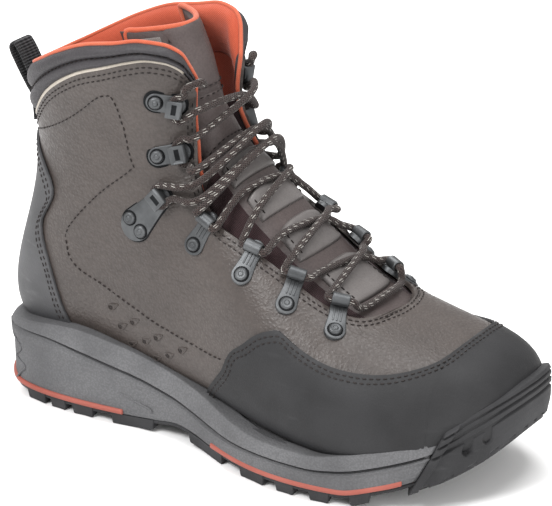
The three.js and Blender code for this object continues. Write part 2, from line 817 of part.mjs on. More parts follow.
function makeMidsole() {
  const side = stack([
    [1.2, under],
    [0.1, sideHeight(0.25)],
    [0, sideHeight(0.9)],
    [GROOVE_DEPTH, sideHeight(0.99)],
    [GROOVE_DEPTH, sideHeight(1.08)],
    [0.3, sideHeight(1.16)],
    [RIM_LEAN * 0.7, sideHeight(1.9)],
    [RIM_LEAN + 0.8, sideHeight(2)],
  ]);
  const recess = stack([
    [-2, (x) => base(x) - 1],
    [-2, (x) => under(x) + LAYER + GAP],
  ]);
  const layers = union([
    between(-FAR, along(HEEL_LAYER_END) + GAP),
    between(along(FRONT_LAYER[0]) - GAP, along(FRONT_LAYER[1]) + GAP),
  ]);
  return side
    .subtract(lastPocket)
    .subtract(recess.intersect(layers))
    .subtract(aheadOfBumper(-GAP));
}

function makeLayer(from, to) {
  const sheet = stack([
    [0, under],
    [-0.4, (x) => under(x) + LAYER * 0.5],
    [0, (x) => under(x) + LAYER],
  ]);
  return sheet.intersect(between(from, to)).subtract(aheadOfBumper(-GAP));
}

// A group of three wedges round a point, parted by narrow grooves
function lugGroup({ at, across, turn, size }) {
  const [cx, cy] = [along(at), across * BALL_WIDTH];
  const reach = LUG_REACH * size;
  return [0, 120, 240].map((step) => {
    const direction = THREE.MathUtils.degToRad(turn + step);
    const polar = (angle, r) => [Math.cos(direction + angle) * r, Math.sin(direction + angle) * r];
    const apex = polar(0, 2 * LUG_SPLIT);
    const arm = (angle, r) => polar(angle, r).map((value, k) => value + apex[k]);
    const corners = [
      apex,
      arm(-Math.PI / 3, reach * 0.75),
      arm(0, reach * 0.85),
      arm(Math.PI / 3, reach * 0.75),
    ];
    return column(corners.map(([x, y]) => [cx + x, cy + y]));
  });
}

// A chevron of two bars parted at its corner
function chevron({ at, across, turn }) {
  const [cx, cy] = [along(at), across * BALL_WIDTH];
  const wide = LUG_REACH * 0.55;
  const long = LUG_REACH * 1.45;
  return [1, -1].map((side) => {
    const bar = [
      [0, side * LUG_SPLIT * 0.6],
      [long * 0.75, side * long * 0.62],
      [long * 0.5, side * (long * 0.62 + wide * 0.8)],
      [-wide * 0.9, side * wide * 0.35],
    ];
    const c = Math.cos(THREE.MathUtils.degToRad(turn));
    const s = Math.sin(THREE.MathUtils.degToRad(turn));
    return column(bar.map(([x, y]) => [cx + x * c - y * s, cy + x * s + y * c]));
  });
}

// A lug that runs in from the edge of the sole, with a notch in its inner side
function edgeLug(side, from, to) {
  const place = (share, inset) => edgeAt(side, along(share), inset);
  const shift = (share) => from + (to - from) * share;
  return column([
    place(from, -2),
    place(to, -2),
    place(shift(0.95), EDGE_LUG_DEPTH * 0.75),
    place(shift(0.62), EDGE_LUG_DEPTH * 0.7),
    place(shift(0.45), EDGE_LUG_DEPTH),
    place(shift(0.1), EDGE_LUG_DEPTH * 0.9),
  ]);
}

function makeOutsole() {
  const plate = stack([
    [1.8, base],
    [1.2, (x) => base(x) + PLATE],
  ]);
  const slab = stack([
    [2.2, (x) => base(x) - LUG_DEPTH],
    [0.8, (x) => base(x) + PLATE * 0.6],
  ]);
  const toePlate = column([
    ...TOE_EDGE.map((r) => [along(r.at), r.across * BALL_WIDTH]),
    [along(1.2), BALL_WIDTH],
    [along(1.2), -BALL_WIDTH],
  ]);
  const lugs = union([
    ...LUG_GROUPS.flatMap(lugGroup),
    ...CHEVRONS.flatMap(chevron),
    ...[-1, 1].flatMap((side) => EDGE_LUGS[side].map(([from, to]) => edgeLug(side, from, to))),
    toePlate,
  ]);
  const bumper = stack([
    [3, bumperHeight(0)],
    [0.4, bumperHeight(0.14)],
    [0, bumperHeight(0.52)],
    [1.2, bumperHeight(0.57)],
    [0.1, bumperHeight(0.63)],
    [0.3, bumperHeight(0.78)],
    [1.4, bumperHeight(0.83)],
    [0.8, bumperHeight(0.89)],
    [2, edge],
  ]);
  const rubber = union([plate, slab.intersect(lugs), bumper.intersect(aheadOfBumper(0))]);
  return rubber.subtract(lastPocket);
}

// Flat closed band of webbing, sewn at its foot to the back of the collar
function makePullLoop() {
  const foot = onLast(LOOP_FOOT, -1, GAP);
  const path = (rows) =>
    rows.map((r) => new THREE.Vector2(foot.x - r.behind * LOOP_RISE, foot.z + r.rise * LOOP_RISE));
  const band = new THREE.Shape(path(LOOP_OUTSIDE));
  band.holes.push(new THREE.Path(path(LOOP_INSIDE)));
  const geometry = new THREE.ExtrudeGeometry(band, { depth: LOOP_BAND, bevelEnabled: false });
  geometry.rotateX(Math.PI / 2).translate(0, LOOP_BAND / 2, 0);
  return solidOf(geometry).subtract(form(2 * GAP));
}

// A frame on the leather from a rivet towards its head: X to the head, Z out of the leather
function frameAt(side, at, half, headAt, headHalf) {
  const rivet = onLast(at, side * half);
  const head = onLast(headAt, side * headHalf);
  const out = normalOf(surfacePoint, (at + headAt) / 2, (side * (half + headHalf)) / 2);
  const x = head.clone().sub(rivet);
  const reach = x.length();
  x.normalize();
  const y = out.clone().cross(x).normalize();
  const z = x.clone().cross(y);
  const matrix = new THREE.Matrix4().makeBasis(x, y, z).setPosition(rivet);
  return { matrix, reach };
}

// Plate with round ends of two radii, from the origin to a reach along X
function roundedPlate(reach, r0, r1) {
  const arc = (x, r, from) =>
    steps(from, from + Math.PI, ROUND / 2 - 1).map((a) => [x + r * Math.cos(a), r * Math.sin(a)]);
  const points = [...arc(0, r0, Math.PI / 2), ...arc(reach, r1, -Math.PI / 2)];
  const shape = new THREE.Shape(points.map(([x, y]) => new THREE.Vector2(x, y)));
  const depth = HARDWARE_PLATE + PLATE_SINK;
  return new THREE.ExtrudeGeometry(shape, { depth, bevelEnabled: false }).translate(0, 0, -PLATE_SINK);
}

// A domed rivet head at a place on the plate
function rivet(x, y) {
  const profile = [
    [0, HARDWARE_PLATE - RIVET_RISE / 2],
    [RIVET_RADIUS, HARDWARE_PLATE - RIVET_RISE / 2],
    [RIVET_RADIUS * 0.55, HARDWARE_PLATE + RIVET_RISE],
    [0, HARDWARE_PLATE + RIVET_RISE],
  ].map(([r, z]) => new THREE.Vector2(r, z));
  return new THREE.LatheGeometry(profile, ROUND).rotateX(Math.PI / 2).translate(x, y, 0);
}

// Side profile [x, z] extruded across the plate
function across(points, width, hole) {
  const shape = new THREE.Shape(points.map(([x, z]) => new THREE.Vector2(x, z)));
  if (hole) shape.holes.push(hole);
  const geometry = new THREE.ExtrudeGeometry(shape, { depth: width, bevelEnabled: false });
  return geometry.rotateX(Math.PI / 2).translate(0, width / 2, 0);
}

function makeLoop(reach) {
  const z = LOOP_RADIUS + HARDWARE_PLATE / 2;
  const circle = (r) =>
    steps(0, 2 * Math.PI, ROUND)
      .slice(0, -1)
      .map((a) => [reach + r * Math.cos(a), z + r * Math.sin(a)]);
  const hole = new THREE.Path(circle(LOOP_HOLE).map(([x, y]) => new THREE.Vector2(x, y)));
  return [
    roundedPlate(reach, RIVET_RADIUS + RIVET_RIM, LOOP_WIDTH / 2),
    rivet(0, 0),
    across(circle(LOOP_RADIUS), LOOP_WIDTH, hole),
  ];
}

// Open hook: a neck on the throat's side carries a head over the plate
function hookHead(reach) {
  const top = HARDWARE_PLATE + HOOK_RISE;
  const front = reach + HOOK_WIDTH * 0.36;
  const back = reach - HOOK_WIDTH * 0.55;
  return across(
    [
      [front - HOOK_WALL * 2, 0],
      [front - HOOK_WALL * 0.4, 0],
      [front, top * 0.6],
      [front - HOOK_WALL * 0.6, top + HOOK_WALL],
      [back + HOOK_WALL * 0.6, top + HOOK_WALL],
      [back, top + HOOK_WALL * 0.6],
      [back + HOOK_WALL * 0.3, top],
      [front - HOOK_WALL * 1.8, top],
    ],
    HOOK_WIDTH,
  );
}

function makeHook(reach) {
  const round = RIVET_RADIUS + RIVET_RIM;
  return [roundedPlate(reach, round, round), rivet(0, 0), hookHead(reach)];
}

// Locking hook on a wider plate with two rivets
function makeLock(reach) {
  const spread = RIVET_RADIUS + RIVET_RIM / 2;
  return [
    roundedPlate(reach, spread + RIVET_RADIUS + RIVET_RIM / 2, HOOK_WIDTH / 2),
    rivet(0, spread),
    rivet(0, -spread),
    hookHead(reach),
  ];
}

const MAKERS = { loop: makeLoop, hook: makeHook, lock: makeLock };

// The leather under a lace holder, made proud by the gap
function bedUnder(row, side) {
  const reach = (values, low, high) =>
    values.filter((_, i) => (values[i + 1] ?? high + 1) > low && (values[i - 1] ?? low - 1) < high);
  const [first, last] = [row.at, row.headAt].sort((a, b) => a - b);
  const [near, far] = [row.headHalf - 0.12, row.half + 0.17].map((v) => side * v).sort((a, b) => a - b);
  const shares = reach(RING_SHARES, near, far);
  const rings = reach(RINGS, first - 0.8, last + 0.8);
  const line = (t, offset) => shares.map((v) => onLast(t, v, offset));
  return loft(rings.map((t) => [...line(t, GAP), ...line(t, -3 * HARDWARE_PLATE).reverse()]));
}

// One lace holder, its plate cut to lie on the leather
function makeHardware(row, side) {
  const { matrix, reach } = frameAt(side, row.at, row.half, row.headAt, row.headHalf);
  const pieces = MAKERS[row.kind](reach).map((g) => solidOf(g.applyMatrix4(matrix)));
  const bed = bedUnder(row, side);
  return union(pieces).subtract(bed);
}

// A round length of lace through points
function laceThrough(points) {
  const section = new THREE.Shape();
  section.absarc(0, 0, LACE / 2, 0, 2 * Math.PI, false);
  const geometry = new THREE.ExtrudeGeometry(section, {
    steps: points.length - 1,
    curveSegments: ROUND / 2,
    bevelEnabled: false,
    extrudePath: new THREE.CatmullRomCurve3(points),
  });
  return solidOf(geometry);
}

// Where the lace leaves each kind of holder: ahead of its head, to its side nearer the toe, to its side
// nearer the heel and above its plate
const LOOP_SIDE = LOOP_WIDTH / 2 + LACE_CLEAR;
const HOOK_SIDE = HOOK_WIDTH / 2 + LACE_CLEAR * 0.9;
const UNDER_HEAD = HARDWARE_PLATE + HOOK_RISE / 2;
const LACE_EXITS = {
  loop: [0, LOOP_SIDE, LOOP_SIDE, LOOP_RADIUS + HARDWARE_PLATE / 2],
  lock: [HOOK_WIDTH * 0.4 + LACE_CLEAR, LACE * 1.3, LACE * 0.05, UNDER_HEAD],
  hook: [HOOK_WALL * 2, HOOK_SIDE, HOOK_SIDE, UNDER_HEAD],
};

// End of a lace at a row: way is 1 towards the toe and -1 towards the heel
function laceEnd(row, side, way) {
  const { matrix, reach } = frameAt(side, row.at, row.half, row.headAt, row.headHalf);
  const [ahead, toeSide, heelSide, height] = LACE_EXITS[row.kind];
  const aside = side * (way > 0 ? toeSide : -heelSide);
  return new THREE.Vector3(reach + ahead, aside, height).applyMatrix4(matrix);
}

// Middle of a lace that lies on the tongue
function onTongue(t, share) {
  const onPanel = PANELS.some((p) => t > p.from && t < p.to);
  return lifted(tongueFace, t, share, LACE_SEAT + LACE / 2 + (onPanel ? TONGUE_PANEL : 0));
}

// The two lengths of lace that cross between one row and the next: over the tongue at the instep, and
// straight from edge to edge where the tongue leans back
function makeCrossing(i) {
  const [row, next] = [LACING[i], LACING[i + 1]];
  const middle = (row.heelWay + next.toeWay) / 2;
  const low = i < TONGUE_ROWS;
  const way = (at, side) =>
    low
      ? onTongue(at, LACE_SPREAD * side)
      : onLast(at, side * through(THROAT, "half", at), LACE / 2 + EDGE_SEAT);
  const centre = low ? onTongue(middle, 0) : onLast(middle, 0, LACE / 2 + EDGE_SEAT);
  const length = (side) =>
    laceThrough([
      laceEnd(row, side, -1),
      way(row.heelWay, side),
      centre,
      way(next.toeWay, -side),
      laceEnd(next, -side, 1),
    ]);
  return union([length(-1), length(1)]);
}

// The first length of lace, which bows towards the toe
function makeLaceBar() {
  const way = (side) => onTongue(BAR_AT + 0.08, LACE_SPREAD * side);
  const ends = [-1, 1].map((side) => laceEnd(LACING[0], side, 1));
  return laceThrough([ends[0], way(-1), onTongue(BAR_AT, 0), way(1), ends[1]]);
}

// Finishes
const finish = (color, roughness, metalness = 0) =>
  new THREE.MeshStandardMaterial({ color, roughness, metalness });
const LEATHER_BROWN = finish(0x6e6560, 0.6);
const RAND_BLACK = finish(0x3a3b3d, 0.55);
const COUNTER_GREY = finish(0x55585a, 0.55);
const PAD_GREY = finish(0x5a5c60, 0.75);
const TONGUE_GREY = finish(0x6a6260, 0.7);
const FOAM_GREY = finish(0x6c6d6f, 0.8);
const BRIGHT_LAYER = finish(0xdf5a3c, 0.6);
const RUBBER = finish(0x3c3d3f, 0.75);
const INSOLE_CLOTH = finish(0x4a4a4c, 0.9);
const WEBBING = finish(0x1c1c1e, 0.85);
const GUNMETAL = finish(0x55575a, 0.35, 0.8);
const LACE_BROWN = finish(0x3c302e, 0.85);

const boot = new THREE.Group();
function add(name, solid, material) {
  const mesh = new THREE.Mesh(geometryOf(solid), material);
  mesh.name = name;
  boot.add(mesh);
}

add("upper", makeUpper(), LEATHER_BROWN);
add("insole", makeInsole(), INSOLE_CLOTH);
add("tongue", makeTongue(), TONGUE_GREY);
add("cuff", makeCuff(), PAD_GREY);
add("toe_rand", makeRand(), RAND_BLACK);
add("heel_counter", makeCounter(), COUNTER_GREY);
add("midsole", makeMidsole(), FOAM_GREY);
add("heel_layer", makeLayer(-FAR, along(HEEL_LAYER_END)), BRIGHT_LAYER);
add("forefoot_layer", makeLayer(along(FRONT_LAYER[0]), along(FRONT_LAYER[1])), BRIGHT_LAYER);
add("outsole", makeOutsole(), RUBBER);
add("pull_loop", makePullLoop(), WEBBING);
const counts = {};
for (const row of LACING) {
  counts[row.kind] = (counts[row.kind] || 0) + 1;
  for (const [word, side] of [
    ["lateral", -1],
    ["medial", 1],
  ])
    add(`lace_${row.kind}_${word}_${counts[row.kind]}`, makeHardware(row, side), GUNMETAL);
}
add("lace_bar", makeLaceBar(), LACE_BROWN);
for (let i = 0; i + 1 < LACING.length; i++)
  add(`lace_crossing_${i + 1}`, makeCrossing(i), LACE_BROWN);

export default boot;
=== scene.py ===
# Looks of a wading boot for the right foot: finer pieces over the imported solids, with their finishes.
# Lengths are in millimetres until a piece is placed. +X is towards the toe, +Y the inner side, +Z up.
import math

import bmesh
import bpy
import numpy as np
from mathutils import Matrix, Vector


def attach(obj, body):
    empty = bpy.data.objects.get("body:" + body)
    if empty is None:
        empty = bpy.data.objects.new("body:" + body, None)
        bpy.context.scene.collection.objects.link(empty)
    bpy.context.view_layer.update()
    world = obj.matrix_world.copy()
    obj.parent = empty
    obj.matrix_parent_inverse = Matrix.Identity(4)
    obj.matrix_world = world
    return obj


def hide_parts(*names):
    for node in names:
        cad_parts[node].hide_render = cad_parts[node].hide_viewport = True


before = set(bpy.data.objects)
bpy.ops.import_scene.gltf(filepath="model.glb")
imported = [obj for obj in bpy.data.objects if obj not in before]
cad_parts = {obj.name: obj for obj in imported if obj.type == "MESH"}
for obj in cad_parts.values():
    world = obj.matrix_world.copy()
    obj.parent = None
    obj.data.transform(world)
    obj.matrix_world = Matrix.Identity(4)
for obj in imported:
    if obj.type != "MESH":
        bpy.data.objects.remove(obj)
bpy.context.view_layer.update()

MM = 0.001
STEP = 1e-3  # step by which slopes of a face are taken

# Camera, as fitted to the outline in the photograph
CAMERA_TARGET = (100.0, 0.0, 70.0)
CAMERA_AZIMUTH = 33.1
CAMERA_ELEVATION = 23.24
CAMERA_ROLL = 1.01
CAMERA_DISTANCE = 1527.3
FOCAL_PIXELS = 2949.3
IMAGE_WIDTH = 552
SENSOR = 36.0
CAMERA_CLIP = (0.1, 20)  # metres
AIM_RIGHT = 18.56  # pixels from the target to the middle of the picture
AIM_UP = 46.95


def matrix_of(x, y, z, place):
    """A matrix from three axes and a place."""
    return Matrix([[x[k], y[k], z[k], place[k]] for k in range(3)] + [[0, 0, 0, 1]])


def make_camera():
    azimuth, elevation, roll = (math.radians(a) for a in (CAMERA_AZIMUTH, CAMERA_ELEVATION, CAMERA_ROLL))
    flat = math.cos(elevation)
    back = Vector((math.sin(azimuth) * flat, -math.cos(azimuth) * flat, math.sin(elevation)))
    level = Vector((math.cos(azimuth), math.sin(azimuth), 0))
    up = back.cross(level)
    right = level * math.cos(roll) - up * math.sin(roll)
    up = level * math.sin(roll) + up * math.cos(roll)
    forward = (right * AIM_RIGHT + up * AIM_UP - back * FOCAL_PIXELS).normalized()
    right = (right - forward * right.dot(forward)).normalized()
    data = bpy.data.cameras.new("camera")
    data.sensor_width = SENSOR
    data.lens = FOCAL_PIXELS * SENSOR / IMAGE_WIDTH
    data.clip_start, data.clip_end = CAMERA_CLIP
    camera = bpy.data.objects.new("camera", data)
    place = (Vector(CAMERA_TARGET) + back * CAMERA_DISTANCE) * MM
    camera.matrix_world = matrix_of(right, right.cross(forward), -forward, place)
    bpy.context.scene.collection.objects.link(camera)
    bpy.context.scene.camera = camera


make_camera()

# Sizes of the last, as in the part's source
LAST_LENGTH = 300
BALL_WIDTH = 110
HEEL_WIDTH = 76
COLLAR_WIDTH = 82
INSTEP_HEIGHT = 150
SHAFT_HEIGHT = 210
HEEL_BEHIND = 0.153
LEATHER = 2.2
OVERLAY = 1.4
CUFF_LAP = 16
TONGUE_PAD = 5
TONGUE_PANEL = 1.2
INSOLE = 4
MIDSOLE_HEEL = 12
LAYER = 3
PLATE = 2
LUG_DEPTH = 4.5
TOE_SPRING = 30
GROOVE_DEPTH = 1.6
RIM_LEAN = 1.8
GAP = 0.3
LACE = 3.8
RIVET_RADIUS = 3.6
HARDWARE_PLATE = 1.3
LOOP_WIDTH = 9
LOOP_RADIUS = 3.3
LOOP_HOLE = 2.2
HOOK_WIDTH = 9.5
HOOK_RISE = 4.6
HOOK_WALL = 1.7
LOOP_BAND = 15
LOOP_RISE = 32
LUG_REACH = 10.5
LUG_SPLIT = 0.9
EDGE_LUG_DEPTH = 12
BUMPER_LOW = 0.892
BUMPER_HIGH = 0.935
HEEL_LAYER_END = 0.29
FRONT_LAYER = (0.495, 0.875)
LOOP_FOOT = 15.95


def table(columns, rows):
    names = columns.split()
    return [dict(zip(names, row)) for row in rows]


SECTIONS = table("name backX low frontX high width lateral medial ridge widest below above", [
    ("tip", 1.0, 1.187, 1.0, 1.187, BALL_WIDTH, 0.082, 0.082, 0.082, 0.5, 2.2, 2.2),
    ("cap", 0.997, 1.085, 0.997, 1.296, BALL_WIDTH, -0.118, 0.255, 0.082, 0.45, 2.4, 2.4),
    ("toe", 0.963, 1.015, 0.96, 1.375, BALL_WIDTH, -0.282, 0.373, 0.082, 0.4, 2.8, 2.5),
    ("toes", 0.9, 0.66, 0.893, 1.42, BALL_WIDTH, -0.427, 0.436, 0.082, 0.36, 3.2, 2.5),
    ("joint", 0.817, 0.45, 0.807, 1.46, BALL_WIDTH, -0.518, 0.464, 0.073, 0.34, 3.4, 2.5),
    ("ball", 0.727, 0.41, 0.713, 1.527, BALL_WIDTH, -0.545, 0.455, 0.073, 0.33, 3.4, 2.5),
    ("waist", 0.63, 0.45, 0.63, 1.664, BALL_WIDTH, -0.518, 0.418, 0.064, 0.32, 3.2, 2.6),
    ("arch", 0.527, 0.62, 0.553, 1.82, HEEL_WIDTH, -0.645, 0.566, 0.079, 0.34, 3.0, 2.7),
    ("instep", 0.413, 0.78, 0.5, 1.937, HEEL_WIDTH, -0.553, 0.526, 0.066, 0.38, 2.8, 2.8),
    ("ankle", 0.293, 0.87, 0.467, 2.067, HEEL_WIDTH, -0.513, 0.526, 0.053, 0.42, 2.6, 2.8),
    ("heel", 0.17, 0.87, 0.447, 2.217, HEEL_WIDTH, -0.5, 0.513, 0.04, 0.46, 2.5, 2.7),
    ("seat", 0.053, 0.99, 0.437, 2.35, HEEL_WIDTH, -0.487, 0.5, 0.026, 0.48, 2.4, 2.7),
    ("corner", -0.013, 1.156, 0.433, 2.467, HEEL_WIDTH, -0.487, 0.5, 0.026, 0.5, 2.3, 2.7),
    ("counter", 0.007, 1.406, 0.433, 2.583, HEEL_WIDTH, -0.487, 0.5, 0.026, 0.52, 2.3, 2.7),
    ("back", 0.043, 1.64, 0.437, 2.717, HEEL_WIDTH, -0.487, 0.5, 0.026, 0.54, 2.3, 2.7),
    ("achilles", 0.063, 1.86, 0.44, 2.867, HEEL_WIDTH, -0.487, 0.5, 0.026, 0.54, 2.3, 2.7),
    ("cuff", 0.05, 2.133, 0.443, 3.017, COLLAR_WIDTH, -0.476, 0.488, 0.024, 0.54, 2.3, 2.7),
    ("collar", 0.043, 2.6, 0.447, 3.183, COLLAR_WIDTH, -0.5, 0.512, 0.024, 0.54, 2.3, 2.7),
    ("above", 0.037, 3.067, 0.45, 3.383, COLLAR_WIDTH, -0.512, 0.524, 0.024, 0.54, 2.3, 2.7),
])

OUTLINE = table("at width lateral medial", [
    (1.015, BALL_WIDTH, 0.109, 0.109), (1.013, BALL_WIDTH, -0.073, 0.273),
    (0.967, BALL_WIDTH, -0.3, 0.4), (0.897, BALL_WIDTH, -0.45, 0.477),
    (0.817, BALL_WIDTH, -0.55, 0.518), (0.733, BALL_WIDTH, -0.595, 0.509),
    (0.64, BALL_WIDTH, -0.595, 0.455), (0.547, BALL_WIDTH, -0.532, 0.391),
    (0.453, HEEL_WIDTH, -0.579, 0.493), (0.353, HEEL_WIDTH, -0.52, 0.493),
    (0.247, HEEL_WIDTH, -0.566, 0.539), (0.14, HEEL_WIDTH, -0.572, 0.553),
    (0.043, HEEL_WIDTH, -0.5, 0.487), (0.0, HEEL_WIDTH, -0.263, 0.263),
    (-0.002, HEEL_WIDTH, 0.0, 0.0),
])

RISE = table("at value", [
    (-0.01, 0.18), (0.007, 0.083), (0.053, 0), (0.287, 0), (0.35, 0.033), (0.405, 0.1),
    (0.45, 0.05), (0.49, 0), (0.77, 0), (0.837, 0.15), (0.903, 0.383), (0.97, 0.75),
    (1.013, 1.117),
])

EDGE_LEVEL = table("at value", [
    (-0.01, 1.148), (0.07, 1.179), (0.187, 1.21), (0.29, 1.175), (0.377, 1.124), (0.47, 1.07),
    (0.543, 1.034), (0.617, 1.015), (0.71, 1.015), (0.787, 1.046), (0.86, 1.093), (0.913, 1.132),
    (0.943, 1.18), (0.97, 1.226), (1.013, 1.288),
])

GROOVE_SHARE = table("at value", [
    (0, 0.92), (0.12, 0.82), (0.2, 0.7), (0.33, 0.6), (0.45, 0.45), (0.53, 0.47), (0.62, 0.58),
    (0.9, 0.56),
])

LEATHER_TOP = table("at level", [
    (-0.15, 1.99), (0.043, 2.0), (0.073, 2.1), (0.133, 2.417), (0.173, 2.567), (0.223, 2.7),
    (0.273, 2.783), (0.317, 2.858), (0.357, 2.9), (0.383, 2.883), (0.4, 2.833), (0.41, 2.76),
    (0.418, 2.6), (0.433, 2.0),
])

CUFF_TOP = table("at level", [
    (-0.15, 2.467), (0.033, 2.5), (0.067, 2.567), (0.113, 2.683), (0.17, 2.825), (0.237, 2.95),
    (0.293, 3.0), (0.343, 3.05), (0.38, 3.033), (0.407, 2.95), (0.418, 2.783), (0.433, 2.4),
])

COUNTER_EDGE = table("at level", [
    (0.053, 1.984), (0.143, 1.773), (0.113, 1.617), (0.13, 1.468), (0.15, 1.288), (0.18, 1.06),
    (0.18, 0.4),
])

THROAT = table("at half", [
    (4.4, 0), (4.46, 0.055), (4.58, 0.09), (4.72, 0.12), (4.95, 0.14), (5.3, 0.155), (6.3, 0.185),
    (7.4, 0.24), (8.2, 0.272), (9, 0.25), (9.75, 0.215), (10.85, 0.172), (12.5, 0.155),
    (14.3, 0.165), (15.1, 0.18), (18, 0.19),
])

RAND_TOP = table("at half", [
    (2.84, 0), (2.87, 0.08), (2.96, 0.158), (3.22, 0.218), (3.63, 0.268), (4.08, 0.298),
    (4.48, 0.313), (4.89, 0.323), (5.56, 0.328), (5.88, 0.328), (6.19, 0.363), (6.42, 0.398),
    (6.69, 0.444), (7.09, 0.499), (7.5, 0.639), (7.8, 0.85), (8.1, 0.96),
])

TONGUE = table("at half middle edge", [
    (3.95, 0.13, 4, 4), (4.6, 0.2, 3.6, 4), (6, 0.25, 3.4, 4), (8, 0.33, 4, 5),
    (9.2, 0.33, 5.5, 10.5), (12, 0.36, 6, 10.5),
])

TONGUE_TOP = table("at middle rise side sideRise half ridge", [
    (9.6, 0.436, 2.13, 0.355, 1.98, 0.23, 0.01), (12, 0.408, 2.5, 0.33, 2.37, 0.28, 0.02),
    (14, 0.388, 2.77, 0.3, 2.68, 0.31, 0.04), (16.4, 0.36, 3.07, 0.27, 3.03, 0.33, 0.045),
])

PANELS = table("from to half", [
    (5.0, 5.75, 0.085), (6.15, 6.75, 0.1), (7.15, 7.75, 0.115), (8.2, 8.9, 0.13),
])

LACING = table("kind at half headAt headHalf toeWay heelWay", [
    ("loop", 4.98, 0.208, 5.18, 0.125, 4.9, 5.44), ("loop", 5.97, 0.25, 6.05, 0.16, 5.79, 6.33),
    ("loop", 7.05, 0.305, 6.98, 0.21, 6.7, 7.41), ("loop", 8.54, 0.368, 8.4, 0.285, 7.97, 8.65),
    ("lock", 10.52, 0.43, 10.3, 0.345, 8.85, 9.3), ("hook", 11.78, 0.308, 10.98, 0.235, 9.7, 11.1),
    ("hook", 14.53, 0.343, 13.7, 0.25, 12.9, 15),
])

LUG_GROUPS = table("at across turn size", [
    (0.855, 0.2, 20, 0.95), (0.86, -0.06, 95, 0.9), (0.845, -0.29, 140, 0.85), (0.78, 0.3, 200, 1),
    (0.785, 0.06, 60, 1.05), (0.775, -0.17, 10, 1), (0.7, 0.32, 75, 0.95), (0.695, -0.12, 180, 1),
    (0.69, -0.33, 30, 0.85), (0.615, 0.21, 130, 1), (0.61, -0.01, 250, 0.9), (0.54, 0.12, 15, 1),
    (0.535, -0.12, 100, 1), (0.315, 0.12, 160, 0.95), (0.225, 0.13, 30, 1),
    (0.22, -0.11, 250, 0.95), (0.14, 0.17, 100, 0.9), (0.136, 0, 0, 0.9), (0.135, -0.17, 190, 0.9),
    (0.06, 0, 0, 0.9),
])

CHEVRONS = table("at across turn", [
    (0.7, 0.1, 130), (0.625, -0.24, 20), (0.31, -0.13, 200),
])

TOE_EDGE = table("at across", [
    (0.913, -0.6), (0.923, -0.34), (0.93, -0.17), (0.913, 0), (0.96, 0.073), (0.957, 0.173),
    (0.913, 0.21), (0.933, 0.345), (0.917, 0.6),
])

# Lugs along each edge of the sole, lateral -1 and medial 1: where each begins and ends along the boot
REAR_LUGS = [(0.07, 0.12), (0.13, 0.167), (0.18, 0.227), (0.263, 0.353)]
EDGE_LUGS = {
    -1: [*REAR_LUGS, (0.43, 0.523), (0.567, 0.627), (0.65, 0.69), (0.717, 0.757), (0.79, 0.827)],
    1: [*REAR_LUGS, (0.43, 0.5), (0.545, 0.595), (0.635, 0.69), (0.72, 0.77), (0.8, 0.84)],
}

TONGUE_BEND = (9.2, 12)
TREAD = LUG_DEPTH + PLATE + LAYER + 2 * GAP
SEAT = TREAD + MIDSOLE_HEEL


def along(share):
    return (share - HEEL_BEHIND) * LAST_LENGTH


def share_of(x):
    return x / LAST_LENGTH + HEEL_BEHIND


def height_of(level):
    level = np.asarray(level, float)
    low = TREAD + level * MIDSOLE_HEEL
    middle = SEAT + (level - 1) * (INSTEP_HEIGHT - SEAT)
    high = INSTEP_HEIGHT + (level - 2) * (SHAFT_HEIGHT - INSTEP_HEIGHT)
    return np.where(level < 1, low, np.where(level < 2, middle, high))


def through(rows, column, x, key="at"):
    """Smooth value through the rows of a table, which never swings past them."""
    xs = np.array([row[key] for row in rows], float)
    ys = np.array([row[column] for row in rows], float)
    slope = np.diff(ys) / np.diff(xs)
    a, b = slope[:-1], slope[1:]
    same = a * b > 0
    inner = np.where(same, 2 * a * b / np.where(same, a + b, 1), 0)
    tangent = np.concatenate(([slope[0]], inner, [slope[-1]]))
    x = np.clip(np.asarray(x, float), xs[0], xs[-1])
    i = np.clip(np.searchsorted(xs, x, side="right") - 1, 0, len(xs) - 2)
    width = xs[i + 1] - xs[i]
    s = (x - xs[i]) / width
    value = ys[i] * (2 * s**3 - 3 * s**2 + 1) + ys[i + 1] * (3 * s**2 - 2 * s**3)
    bend = tangent[i] * (s**3 - 2 * s**2 + s) + tangent[i + 1] * (s**3 - s**2)
    return value + width * bend


def smooth(x, low, high):
    s = np.clip((np.asarray(x, float) - low) / (high - low), 0, 1)
    return s * s * (3 - 2 * s)


# The surface of the last: t counts the sections from the tip, v runs from -1 at the underside or back,
# over the lateral side, to 0 on the ridge and on over the medial side to 1
LAST_ROWS = [
    (
        along(s["backX"]), float(height_of(s["low"])), along(s["frontX"]), float(height_of(s["high"])),
        *(s[name] * s["width"] for name in ("lateral", "medial", "ridge")),
        *(s[name] for name in ("widest", "below", "above")),
    )
    for s in SECTIONS
]
END = len(SECTIONS) - 1


def control_rows():
    """The sections with one more at each end, the first a mirror image of the cap about the tip."""
    rows = np.array(LAST_ROWS, float)
    tip, cap = rows[0], rows[1]
    mirrored = cap.copy()
    mirrored[:4] = cap[[2, 3, 0, 1]]
    mirrored[4:6] = 2 * tip[6] - cap[4:6]
    return np.vstack([mirrored, rows, 2 * rows[-1] - rows[-2]])


CONTROLS = control_rows()


def cubic_weights(f):
    """Weights of four rows of a smooth curve at a fraction between the middle two."""
    return (1 - f) ** 3 / 6, (3 * f**3 - 6 * f**2 + 4) / 6, (-3 * f**3 + 3 * f**2 + 3 * f + 1) / 6, f**3 / 6


